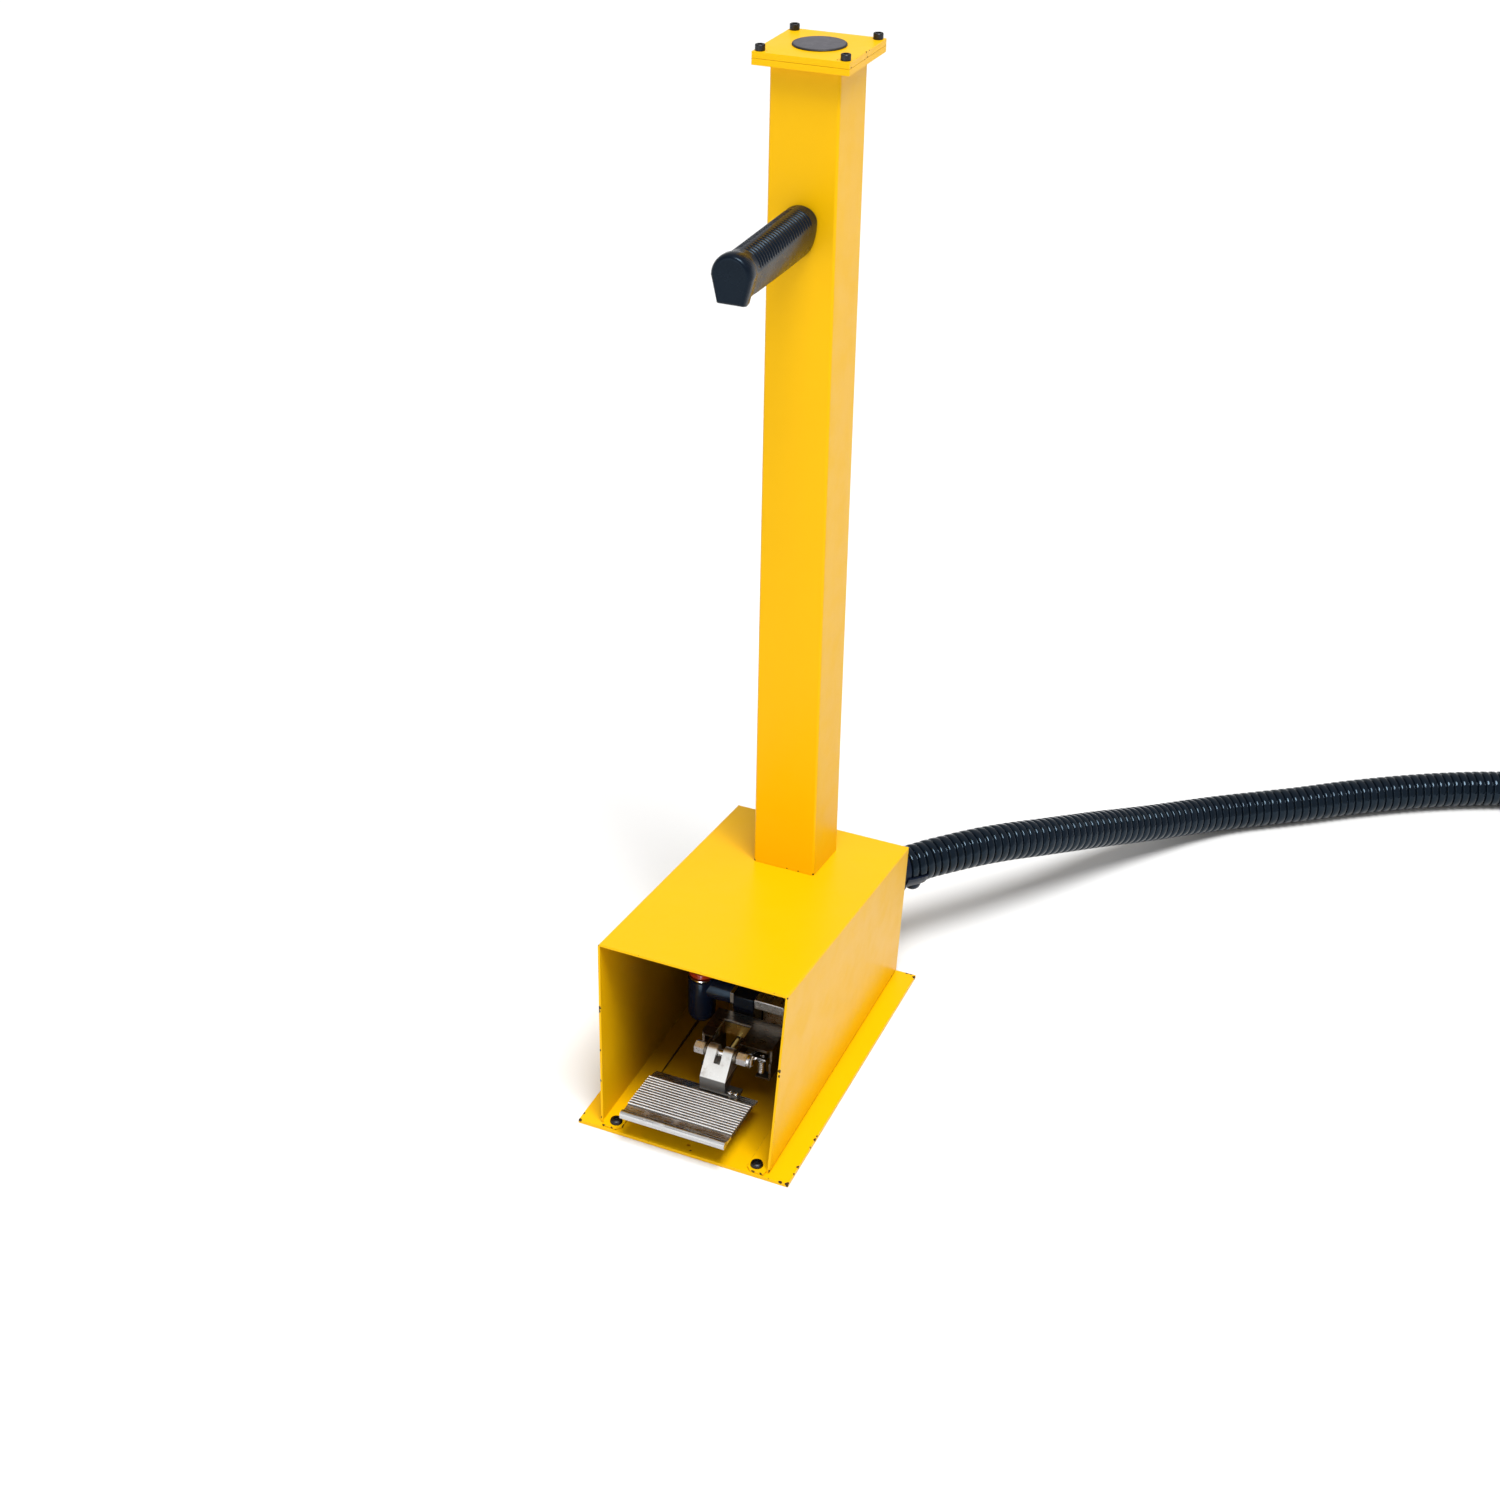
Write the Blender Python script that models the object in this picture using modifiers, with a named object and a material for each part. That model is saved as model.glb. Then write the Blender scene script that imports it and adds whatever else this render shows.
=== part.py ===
"""Foot switch pedestal: a hood over a pneumatic foot valve, with a column, a grip and a conduit.

Run it with: blender --background --python part.py

All sizes below are in millimetres and the helpers turn them into metres. Places are given as x to the
right of the centre line, y behind the front edge of the hood's top, and z above the floor.
"""

import math

import bmesh
import bpy
import numpy as np
from mathutils import Matrix, Vector

MM = 0.001
GAP = 0.3  # clearance between pieces that touch on the real object
ORIGIN_Y = 170.5  # the origin lies this far behind the hood's front edge, in the middle of the depth

# Base plate
BASE_HALF_WIDTH = 123.3
BASE_FRONT = -23.4
BASE_REAR = 377.0
BASE_THICKNESS = 4.0
BASE_HOLE_AT = (3.0, -10.0)
BASE_HOLE_RADIUS = 2.5

# Hood: folded sheet, open at the front, walls that lean in towards the floor, top that falls to the rear
SHEET = 2.5
HOOD_FOOT_Z = BASE_THICKNESS + GAP
HOOD_TOP_FRONT_Z = 227.7
HOOD_TOP_REAR_Z = 185.3
HOOD_TOP_REAR_Y = 370.7
HOOD_FOOT_FRONT_Y = -16.6
HOOD_FOOT_REAR_Y = 375.1
HOOD_TOP_FRONT_HALF = 108.3
HOOD_TOP_REAR_HALF = 107.9
HOOD_FOOT_HALF = 99.2
FOLD_RADIUS = 3.0
FLANGE_INNER = 74.0
FLANGE_TAB_Y = -22.0
BOLT_X = 83.0
BOLT_YS = (-12.0, 350.0)
BOLT_CORE = 3.85
BOLT_HEAD_HEIGHT = 4.4
SOCKET_RADIUS = 2.9
CABLE_HOLE_RADIUS = 20.0
SLOPE = (HOOD_TOP_REAR_Z - HOOD_TOP_FRONT_Z) / HOOD_TOP_REAR_Y

# Rear panel
PANEL_THICKNESS = 1.5
PANEL_BAND_Z = 115.0
PANEL_LOWER_HALF = 95.0
CONDUIT_X = 79.0
CONDUIT_Z = 121.0
CONDUIT_THREAD_RADIUS = 16.0
ELBOW_STRAIGHT = 5.0
ELBOW_REACH = 26.0

# Column, its end plates and the plug
COLUMN_SIDE = 73.0
COLUMN_WALL = 3.0
COLUMN_CORNER = 3.0
COLUMN_Y = 288.5
COLUMN_TOP_Z = 1110.1
COLUMN_FACE = COLUMN_Y - COLUMN_SIDE / 2 - GAP  # where the grip begins
PLATE_SIDE = 100.0
PLATE_THICKNESS = 6.3
PLATE_HOLE_RADIUS = 24.0
PLUG_RADIUS = 26.9
TOP_SCREW_OFFSET = 43.5
TOP_SCREW_HEAD_HEIGHT = 6.0

# Handle
GRIP_FRONT_Y = 78.0
GRIP_CENTRE_Z = 957.0
GRIP_CORE_RADIUS = 8.0
GRIP_CORE_Z = 950.0
GRIP_CORE_LENGTH = 140.0
SIDE_SHARE = 0.36  # share of the grip's lower outline that each of its sides takes

# Pedal
PIVOT_Y = 71.5
PIVOT_Z = 69.5
PIN_RADIUS = 4.0
ARM_X = 5.0
ARM_WIDTH = 30.0
TREAD_X = -6.5
TREAD_WIDTH = 122.0
TREAD_REAR = (41.0, 36.0)
TREAD_TILT = math.radians(3.0)
RIB_COUNT = 13
RIB_PITCH = 4.35
RIB_HEIGHT = 2.0
RIB_RADIUS = 1.35
NOSE_RADIUS = 5.0
CHANNEL_UP = -0.6
TREAD_UNDERSIDE = -4.2
TREAD_DEPTH = 77.0
LIP_DEPTH = 17.0
TREAD_SCREW_XS = (25.0, 32.0)
TREAD_SCREW_Y = 49.0
TREAD_SCREW_DRILL = 2.3
ARM_FOOT_FRONT = 45.5
ARM_FOOT_TOP = 38.5
ARM_SLOT_HALF = 3.75

# Valve and its bracket
BRACKET_LEFT = -26.0
BRACKET_RIGHT = 57.0
BRACKET_TOP_Z = 78.5
BRACKET_FRONT = 84.0
BRACKET_BACK = 133.0
WINDOW_LEFT = -11.0
WINDOW_RIGHT = 21.0
WINDOW_REAR = 117.0
PLUNGER_Z = 55.0
PLUNGER_RADIUS = 3.5
VALVE_FRONT = 138.0
VALVE_BACK = 205.0
VALVE_FLOOR = 45.0
VALVE_TOP = 96.5
VALVE_LEFT = -11.0
VALVE_SEAM = 14.0
VALVE_RIGHT = 50.0
VALVE_STEP_DEPTH = 26.0
VALVE_STEP_Z = 86.0
SIDE_PLATE_THICKNESS = 4.0
SUPPLY_PORT_X = 32.0
EXHAUST_X = 2.0
REAR_PORT_Z = 70.0
THREAD_LENGTH = 9.0
ELBOW_X = -57.0
ELBOW_Y = 157.0
ELBOW_RADIUS = 16.0
ELBOW_BOTTOM_Z = 38.5
ELBOW_TOP_Z = 96.5
ELBOW_BRANCH_Z = 84.0
ELBOW_BRANCH_RADIUS = 12.0
TUBE_RADIUS = 6.0
FOOT_SCREW_DRILL = 2.8
BRACKET_SCREW_YS = (124.0, 142.0)
RISER_SCREW_XS = (2.0, 40.0)
SPRING_X = 44.5
SPRING_Y = 90.0
SPRING_LOW_Z = 42.0
SPRING_HIGH_Z = 62.0
SPRING_TAB = (SPRING_LOW_Z - 3.4, SPRING_LOW_Z - 1.0)  # lower and upper face of the bracket's tab

# Corrugated conduit: the route of its centre line, laid on the floor at its full length
HOSE_RADIUS = 23.0
HOSE_ROUTE = (
    (86.2, 416.5, 125.4), (99.5, 434, 124), (107.7, 446, 123.5), (125.5, 468, 122.3),
    (152, 503, 118.5), (178, 541, 110.5), (204, 582, 99), (230, 626, 86), (256.5, 673, 71.5),
    (284, 719, 57), (312.6, 764, 44), (342, 806, 34), (373, 843, 27), (406, 873, 23.8),
    (463, 915, 23.3), (520, 959, 23.3), (580, 1001, 23.3), (639, 1037, 23.3), (699, 1067, 23.3),
    (757, 1087, 23.3), (818, 1092, 23.3), (877, 1078, 23.3), (929, 1045, 23.3), (969, 998, 23.3),
    (993, 941, 23.6), (1001, 881, 25.5), (1001, 851, 27.3), (1001, 826, 27.3),
)
HOSE_POINTS = 42

PARTS = bpy.data.collections.new("foot_switch_pedestal")
CUTTERS = bpy.data.collections.new("cutters")


# ---------------------------------------------------------------- helpers


def metres(x, y, z):
    """A point in metres, from millimetres right of the middle, behind the hood's front and off the floor."""
    return Vector((x * MM, (y - ORIGIN_Y) * MM, z * MM))


def paint(name, colour, roughness, metallic=0.0):
    """A Principled material, made once and shared."""
    material = bpy.data.materials.get(name)
    if material is None:
        material = bpy.data.materials.new(name)
        material.use_nodes = True
        shader = material.node_tree.nodes["Principled BSDF"]
        shader.inputs["Base Color"].default_value = (*colour, 1.0)
        shader.inputs["Roughness"].default_value = roughness
        shader.inputs["Metallic"].default_value = metallic
        material.diffuse_color = (*colour, 1.0)
    return material


def yellow_paint():
    return paint("yellow_paint", (0.86, 0.50, 0.01), 0.3)


def black_plastic():
    return paint("black_plastic", (0.012, 0.014, 0.02), 0.35)


def black_oxide():
    return paint("black_oxide", (0.02, 0.02, 0.022), 0.4, 0.8)


def bright_steel():
    return paint("bright_steel", (0.65, 0.65, 0.66), 0.22, 1.0)


def bracket_steel():
    return paint("bracket_steel", (0.28, 0.26, 0.23), 0.25, 1.0)


def aluminium():
    return paint("aluminium", (0.75, 0.76, 0.78), 0.3, 1.0)


def grey_plastic():
    return paint("grey_plastic", (0.07, 0.07, 0.08), 0.6)


def red_plastic():
    return paint("red_plastic", (0.6, 0.06, 0.02), 0.35)


def bronze():
    return paint("sintered_bronze", (0.5, 0.33, 0.14), 0.6, 1.0)


def show(obj, material, smooth=30):
    """Links a finished piece to the parts and gives it its material."""
    if obj.name not in PARTS.objects:
        PARTS.objects.link(obj)
    obj.data.materials.clear()
    obj.data.materials.append(material)
    if obj.type == "MESH":
        obj.data.shade_smooth()
        obj.data.set_sharp_from_angle(angle=math.radians(smooth))
    return obj


def helper(obj):
    """Moves a cutter, or a shape that a Boolean joins to a piece, out of the rendered parts."""
    if obj.name in PARTS.objects:
        PARTS.objects.unlink(obj)
    if obj.name not in CUTTERS.objects:
        CUTTERS.objects.link(obj)
    obj.hide_render = True
    obj.display_type = "WIRE"
    return obj


def boolean(obj, other, operation, solver="EXACT"):
    """Adds a Boolean of this piece with a helper object."""
    modifier = obj.modifiers.new(f"{operation.title()} {other.name}", "BOOLEAN")
    modifier.operation = operation
    modifier.solver = solver
    modifier.object = helper(other)
    return obj


def bevel(obj, width, segments=2):
    modifier = obj.modifiers.new("Bevel", "BEVEL")
    modifier.width = width * MM
    modifier.segments = segments
    modifier.limit_method = "ANGLE"
    modifier.angle_limit = math.radians(40)
    return obj


def block(name, low, high):
    """A box between two corners, with its origin in its middle."""
    mesh = bpy.data.meshes.new(name)
    shape = bmesh.new()
    size = Vector(high) - Vector(low)
    bmesh.ops.create_cube(shape, size=1.0)
    bmesh.ops.scale(shape, vec=size * MM, verts=shape.verts)
    shape.to_mesh(mesh)
    shape.free()
    obj = bpy.data.objects.new(name, mesh)
    obj.location = metres(*((Vector(low) + Vector(high)) / 2))
    PARTS.objects.link(obj)
    return obj


def drills(name, places, radius, length, axis="Z", segments=16):
    """One cutter of several round bars, each centred on its place along the axis."""
    turn = {"X": Matrix.Rotation(math.pi / 2, 4, "Y"), "Y": Matrix.Rotation(math.pi / 2, 4, "X")}
    mesh = bpy.data.meshes.new(name)
    shape = bmesh.new()
    for place in places:
        bmesh.ops.create_cone(
            shape,
            cap_ends=True,
            segments=segments,
            radius1=radius * MM,
            radius2=radius * MM,
            depth=length * MM,
            matrix=Matrix.Translation(metres(*place)) @ turn.get(axis, Matrix.Identity(4)),
        )
    shape.to_mesh(mesh)
    shape.free()
    return helper(bpy.data.objects.new(name, mesh))


def arc(centre, radius, start, end, count):
    """Points along an arc, from one angle to another in degrees."""
    return [
        (centre[0] + radius * math.cos(math.radians(a)), centre[1] + radius * math.sin(math.radians(a)))
        for a in np.linspace(start, end, count)
    ]


def rounded_square(half, radius, count=4):
    """The outline of a square with round corners, centred on the origin."""
    points = []
    for quarter in range(4):
        angle = math.radians(90 * quarter + 45)
        corner = (
            math.copysign(half - radius, math.cos(angle)),
            math.copysign(half - radius, math.sin(angle)),
        )
        points += arc(corner, radius, 90 * quarter, 90 * quarter + 90, count)
    return points


def as_mesh(obj):
    """Turns a curve object into a mesh object of the same name and place."""
    bpy.context.view_layer.update()
    graph = bpy.context.evaluated_depsgraph_get()
    mesh = bpy.data.meshes.new_from_object(obj.evaluated_get(graph))
    shape = bmesh.new()
    shape.from_mesh(mesh)
    bmesh.ops.remove_doubles(shape, verts=shape.verts, dist=1e-6)
    bmesh.ops.recalc_face_normals(shape, faces=shape.faces)
    shape.to_mesh(mesh)
    shape.free()
    place = obj.matrix_world.copy()
    name = obj.name
    bpy.data.objects.remove(obj)
    solid = bpy.data.objects.new(name, mesh)
    solid.matrix_world = place
    PARTS.objects.link(solid)
    return solid


def flat_curve(name, outlines, thickness):
    """A filled flat curve of one or more outlines, extruded to both sides of its plane."""
    curve = bpy.data.curves.new(name, "CURVE")
    curve.dimensions = "2D"
    curve.fill_mode = "BOTH"
    curve.extrude = thickness / 2 * MM
    for outline in outlines:
        spline = curve.splines.new("POLY")
        spline.points.add(len(outline) - 1)
        for point, (u, v) in zip(spline.points, outline):
            point.co = (u * MM, v * MM, 0, 1)
        spline.use_cyclic_u = True
    obj = bpy.data.objects.new(name, curve)
    PARTS.objects.link(obj)
    return obj


def level_plate(name, outlines, low_z, high_z, centre=(0.0, 0.0)):
    """A plate parallel to the floor, from outlines in x and y."""
    obj = flat_curve(name, outlines, high_z - low_z)
    obj.location = metres(centre[0], centre[1], (low_z + high_z) / 2)
    return as_mesh(obj)


def side_plate(name, outline, low_x, high_x):
    """A plate square to the x axis, from an outline in y and z."""
    obj = flat_curve(name, [outline], high_x - low_x)
    obj.matrix_world = Matrix.Translation(metres((low_x + high_x) / 2, 0, 0)) @ Matrix(
        ((0, 0, 1, 0), (1, 0, 0, 0), (0, 1, 0, 0), (0, 0, 0, 1))
    )
    return as_mesh(obj)


def turned(name, profile, place, axis=(0, 0, 1), steps=20, closed=False):
    """A turned solid. The profile gives radius and height, down the outer side of the axis."""
    mesh = bpy.data.meshes.new(name)
    count = len(profile)
    edges = [(i, i + 1) for i in range(count - 1)]
    if closed:
        edges.append((count - 1, 0))
    mesh.from_pydata([(r * MM, 0, h * MM) for r, h in profile], edges, [])
    obj = bpy.data.objects.new(name, mesh)
    obj.location = metres(*place)
    obj.rotation_euler = Vector((0, 0, 1)).rotation_difference(Vector(axis)).to_euler()
    screw = obj.modifiers.new("Screw", "SCREW")
    screw.steps = steps
    screw.render_steps = steps
    screw.use_merge_vertices = True
    screw.merge_threshold = 1e-5
    PARTS.objects.link(obj)
    return obj


def hex_nut(name, place, axis, length, corner, bore):
    """A hexagon nut with turned corners and a round bore, from its place along the X or Y axis."""
    along = {"X": (1, 0, 0), "Y": (0, 1, 0)}[axis]
    face = corner - 0.9
    profile = [(0, length), (face, length), (corner, length - 0.6), (corner, 0.6), (face, 0), (0, 0)]
    piece = turned(name, profile, place, along, 6)
    return boolean(piece, drills(f"{name}_bore", [place], bore, 4 * length, axis), "DIFFERENCE")


def round_tube(name, points, radius, resolution=2):
    """A tube along points, swept with a bevelled curve."""
    curve = bpy.data.curves.new(name, "CURVE")
    curve.dimensions = "3D"
    curve.bevel_depth = radius * MM
    curve.bevel_resolution = resolution
    curve.use_fill_caps = True
    spline = curve.splines.new("POLY")
    spline.points.add(len(points) - 1)
    for point, place in zip(spline.points, points):
        point.co = (*metres(*place), 1)
    obj = bpy.data.objects.new(name, curve)
    PARTS.objects.link(obj)
    return obj


def smooth_route(route, count):
    """Evenly spaced points on a smooth curve through the route's own points."""
    corners = np.array(route, float)
    padded = np.vstack((2 * corners[0] - corners[1], corners, 2 * corners[-1] - corners[-2]))
    dense = []
    for a, b, c, d in zip(padded, padded[1:], padded[2:], padded[3:]):
        for t in np.linspace(0, 1, 12, endpoint=False):
            square = (2 * a - 5 * b + 4 * c - d) * t**2
            cube = (3 * b - a - 3 * c + d) * t**3
            dense.append(0.5 * (2 * b + (c - a) * t + square + cube))
    dense.append(corners[-1])
    dense = np.array(dense)
    run = np.concatenate(([0], np.cumsum(np.linalg.norm(np.diff(dense, axis=0), axis=1))))
    wanted = np.linspace(0, run[-1], count)
    return [tuple(np.interp(s, run, dense[:, i]) for i in range(3)) for s in wanted]


def top_z(y):
    """The height of the hood's sloping top at a distance behind its front edge."""
    return HOOD_TOP_FRONT_Z + SLOPE * y


# ---------------------------------------------------------------- base and hood


def base_plate():
    plate = block(
        "base_plate", (-BASE_HALF_WIDTH, BASE_FRONT, 0), (BASE_HALF_WIDTH, BASE_REAR, BASE_THICKNESS)
    )
    bolts = [(side * BOLT_X, y, 2) for side in (-1, 1) for y in BOLT_YS]
    boolean(plate, drills("base_bolt_drills", bolts, BOLT_CORE + 0.45, 20), "DIFFERENCE")
    feet = [(*place, 2) for place in bracket_screw_places() + riser_screw_places()]
    boolean(plate, drills("base_screw_drills", feet, FOOT_SCREW_DRILL, 20), "DIFFERENCE")
    boolean(plate, drills("base_hole_drill", [(*BASE_HOLE_AT, 2)], BASE_HOLE_RADIUS, 20), "DIFFERENCE")
    show(plate, yellow_paint())


def hood_surface():
    """The outer surface of the folded sheet, with its folds rounded."""
    mesh = bpy.data.meshes.new("hood")
    shape = bmesh.new()
    top_front, top_rear, foot_front, foot_rear, flanges = {}, {}, {}, {}, {}
    for side in (-1, 1):
        top_front[side] = shape.verts.new(metres(side * HOOD_TOP_FRONT_HALF, 0, HOOD_TOP_FRONT_Z))
        top_rear[side] = shape.verts.new(
            metres(side * HOOD_TOP_REAR_HALF, HOOD_TOP_REAR_Y, HOOD_TOP_REAR_Z)
        )
        foot_front[side] = shape.verts.new(metres(side * HOOD_FOOT_HALF, HOOD_FOOT_FRONT_Y, HOOD_FOOT_Z))
        foot_rear[side] = shape.verts.new(metres(side * HOOD_FOOT_HALF, HOOD_FOOT_REAR_Y, HOOD_FOOT_Z))
        outline = (
            (HOOD_FOOT_HALF - 4, HOOD_FOOT_FRONT_Y),
            (HOOD_FOOT_HALF - 4, FLANGE_TAB_Y),
            (FLANGE_INNER + 5, FLANGE_TAB_Y),
            (FLANGE_INNER, FLANGE_TAB_Y + 5),
            (FLANGE_INNER, HOOD_FOOT_REAR_Y),
        )
        flanges[side] = [shape.verts.new(metres(side * x, y, HOOD_FOOT_Z)) for x, y in outline]
    shape.faces.new((top_front[-1], top_front[1], top_rear[1], top_rear[-1]))
    for side in (-1, 1):
        wall = [top_front[side], top_rear[side], foot_rear[side], foot_front[side]]
        flange = [foot_front[side], foot_rear[side], *reversed(flanges[side])]
        for corners in (wall, flange):
            shape.faces.new(corners if side < 0 else list(reversed(corners)))
    folds = [edge for edge in shape.edges if len(edge.link_faces) == 2]
    bmesh.ops.recalc_face_normals(shape, faces=shape.faces)
    bmesh.ops.bevel(
        shape, geom=folds, offset=FOLD_RADIUS * MM, segments=3, profile=0.5, affect="EDGES"
    )
    if sum(face.normal.z * face.calc_area() for face in shape.faces) < 0:
        bmesh.ops.reverse_faces(shape, faces=shape.faces)
    shape.to_mesh(mesh)
    shape.free()
    return bpy.data.objects.new("hood", mesh)


def hood():
    obj = hood_surface()
    PARTS.objects.link(obj)
    solidify = obj.modifiers.new("Solidify", "SOLIDIFY")
    solidify.thickness = SHEET * MM
    solidify.offset = -1
    solidify.use_even_offset = True
    bolts = [(side * BOLT_X, y, 6) for side in (-1, 1) for y in BOLT_YS]
    boolean(obj, drills("hood_bolt_drills", bolts, BOLT_CORE + 0.65, 20), "DIFFERENCE")
    cable = [(0, COLUMN_Y, top_z(COLUMN_Y))]
    boolean(obj, drills("hood_cable_drill", cable, CABLE_HOLE_RADIUS, 40, segments=32), "DIFFERENCE")
    show(obj, yellow_paint())


def rear_panel():
    """The closing panel behind the hood: a wide band above, and a narrower lower part."""
    height = HOOD_TOP_REAR_Z - HOOD_FOOT_Z
    lean = math.atan2(HOOD_FOOT_REAR_Y - HOOD_TOP_REAR_Y, height)
    growth = (HOOD_TOP_REAR_HALF - HOOD_FOOT_HALF) / height
    band_half = HOOD_FOOT_HALF + growth * (PANEL_BAND_Z - HOOD_FOOT_Z) - 0.4
    right = [
        (PANEL_LOWER_HALF, 3.5),
        (PANEL_LOWER_HALF, PANEL_BAND_Z - HOOD_FOOT_Z),
        (band_half, PANEL_BAND_Z - HOOD_FOOT_Z),
        (HOOD_TOP_REAR_HALF - 0.6, height - 1),
    ]
    outline = right + [(-x, v) for x, v in reversed(right)]
    panel = flat_curve("rear_panel", [outline], PANEL_THICKNESS)
    out = (GAP + PANEL_THICKNESS / 2) / math.cos(lean)
    panel.location = metres(0, HOOD_FOOT_REAR_Y + out, HOOD_FOOT_Z)
    panel.rotation_euler = (math.pi / 2 + lean, 0, 0)
    panel = as_mesh(panel)
    place = (CONDUIT_X, HOOD_FOOT_REAR_Y, CONDUIT_Z)
    hole = drills("panel_drill", [place], CONDUIT_THREAD_RADIUS + GAP, 40, "Y", 32)
    show(boolean(panel, hole, "DIFFERENCE", "MANIFOLD"), yellow_paint())


def hood_bolts():
    """Button head screws with a hexagon socket, tapped into the base plate."""
    head_z = HOOD_FOOT_Z + SHEET + GAP
    tip = 0.5 - head_z
    profile = [(0, BOLT_HEAD_HEIGHT), (4.2, BOLT_HEAD_HEIGHT - 0.1), (6.2, 3.2), (7.0, 1.3), (7.0, 0)]
    profile += [(BOLT_CORE, 0), (BOLT_CORE, tip), (0, tip)]
    number = 0
    for y in BOLT_YS:
        for side in (-1, 1):
            number += 1
            bolt = turned(f"hood_bolt_{number}", profile, (side * BOLT_X, y, head_z))
            crown = (side * BOLT_X, y, head_z + BOLT_HEAD_HEIGHT)
            socket = drills(f"hood_bolt_socket_{number}", [crown], SOCKET_RADIUS, 5, segments=6)
            show(boolean(bolt, socket, "DIFFERENCE"), black_oxide())


# ---------------------------------------------------------------- column, plates and handle


def column():
    """A square tube whose foot is cut to the slope of the hood's top."""
    half = COLUMN_SIDE / 2
    outlines = [rounded_square(half, COLUMN_CORNER), rounded_square(half - COLUMN_WALL, 1.0)]
    tube = level_plate("column", outlines, 150, COLUMN_TOP_Z, (0, COLUMN_Y))
    foot = block("column_foot_cutter", (-60, -60, -100), (60, 60, 0))
    foot.matrix_world = (
        Matrix.Translation(metres(0, COLUMN_Y, top_z(COLUMN_Y) + GAP))
        @ Matrix.Rotation(math.atan(SLOPE), 4, "X")
        @ Matrix.Translation((0, 0, -50 * MM))
    )
    show(boolean(tube, foot, "DIFFERENCE", "MANIFOLD"), yellow_paint())


def top_screw_places():
    return [
        (side * TOP_SCREW_OFFSET, COLUMN_Y + back * TOP_SCREW_OFFSET) for back in (-1, 1) for side in (-1, 1)
    ]


def end_plates():
    """The flange on the column and the plate screwed to it, each with a round hole for cables."""
    lower = COLUMN_TOP_Z + GAP
    upper = lower + PLATE_THICKNESS + GAP
    outline = rounded_square(PLATE_SIDE / 2, 1.0, 3)
    hole = arc((0, 0), PLATE_HOLE_RADIUS, 0, 348.75, 32)
    for name, low, radius in (("column_flange", lower, 3.2), ("top_plate", upper, 3.4)):
        plate = level_plate(name, [outline, hole], low, low + PLATE_THICKNESS, (0, COLUMN_Y))
        places = [(x, y, low) for x, y in top_screw_places()]
        boolean(plate, drills(f"{name}_drills", places, radius, 30), "DIFFERENCE")
        show(plate, yellow_paint())
    return upper + PLATE_THICKNESS


def hole_plug(plate_top):
    """A push-in plug: a flat cap with a rounded rim over a hollow skirt."""
    rim = arc((PLUG_RADIUS - 1.2, 0.5), 1.2, 80, 0, 4)
    skirt = PLATE_HOLE_RADIUS - 1
    profile = [(0, 1.8), *rim, (PLUG_RADIUS, 0), (skirt + 0.4, 0), (skirt, -9), (skirt - 2, -9)]
    profile += [(skirt - 2, -1.2), (0, -1.2)]
    show(turned("hole_plug", profile, (0, COLUMN_Y, plate_top + GAP), steps=32), grey_plastic())


def top_screws(plate_top):
    """Socket head cap screws that hold the two end plates together."""
    low = COLUMN_TOP_Z + GAP + 0.6 - plate_top - GAP
    head = TOP_SCREW_HEAD_HEIGHT
    profile = [(0, head), (4.5, head), (5.0, head - 0.5), (5.0, 0), (2.9, 0), (2.9, low), (0, low)]
    for number, (x, y) in enumerate(top_screw_places(), 1):
        seat = plate_top + GAP
        screw = turned(f"top_screw_{number}", profile, (x, y, seat), steps=16)
        socket = drills(f"top_screw_socket_{number}", [(x, y, seat + head)], SOCKET_RADIUS, 6, segments=6)
        show(boolean(screw, socket, "DIFFERENCE"), black_oxide())


def grip_section(y):
    """One section of the grip: an oval at the column that turns into a flat-bottomed D at the free end."""
    along = (COLUMN_FACE - y) / (COLUMN_FACE - GRIP_FRONT_Y)
    flare = np.clip((along - 0.86) / 0.08, 0, 1)
    flare = flare * flare * (3 - 2 * flare)
    half = 18.0 + 0.6 * along + 1.4 * flare
    top = 975.4 + 0.8 * along + 1.8 * flare
    bottom = 922.5 + 13.0 * along**1.1 - 5.5 * flare
    middle = GRIP_CENTRE_Z + 3 * (1 - along)
    foot = half * 0.68
    points = []
    for angle in np.linspace(0, math.pi, 17):
        points.append((half * math.cos(angle), middle + (top - middle) * math.sin(angle)))
    squareness = np.clip(along / 0.8, 0, 1)
    drop = middle - bottom
    for step in range(1, 16):
        share = step / 16
        angle = math.pi * (1 + share)
        oval = np.array((half * math.cos(angle), middle + drop * math.sin(angle)))
        side = -1 if share < 0.5 else 1
        fallen = min(share, 1 - share) / SIDE_SHARE
        if fallen < 1:
            box = np.array((side * (half - (half - foot) * fallen), middle - drop * fallen))
        else:
            box = np.array((foot * (share - 0.5) / (0.5 - SIDE_SHARE), bottom))
        points.append(tuple(oval + (box - oval) * squareness))
    return points


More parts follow.
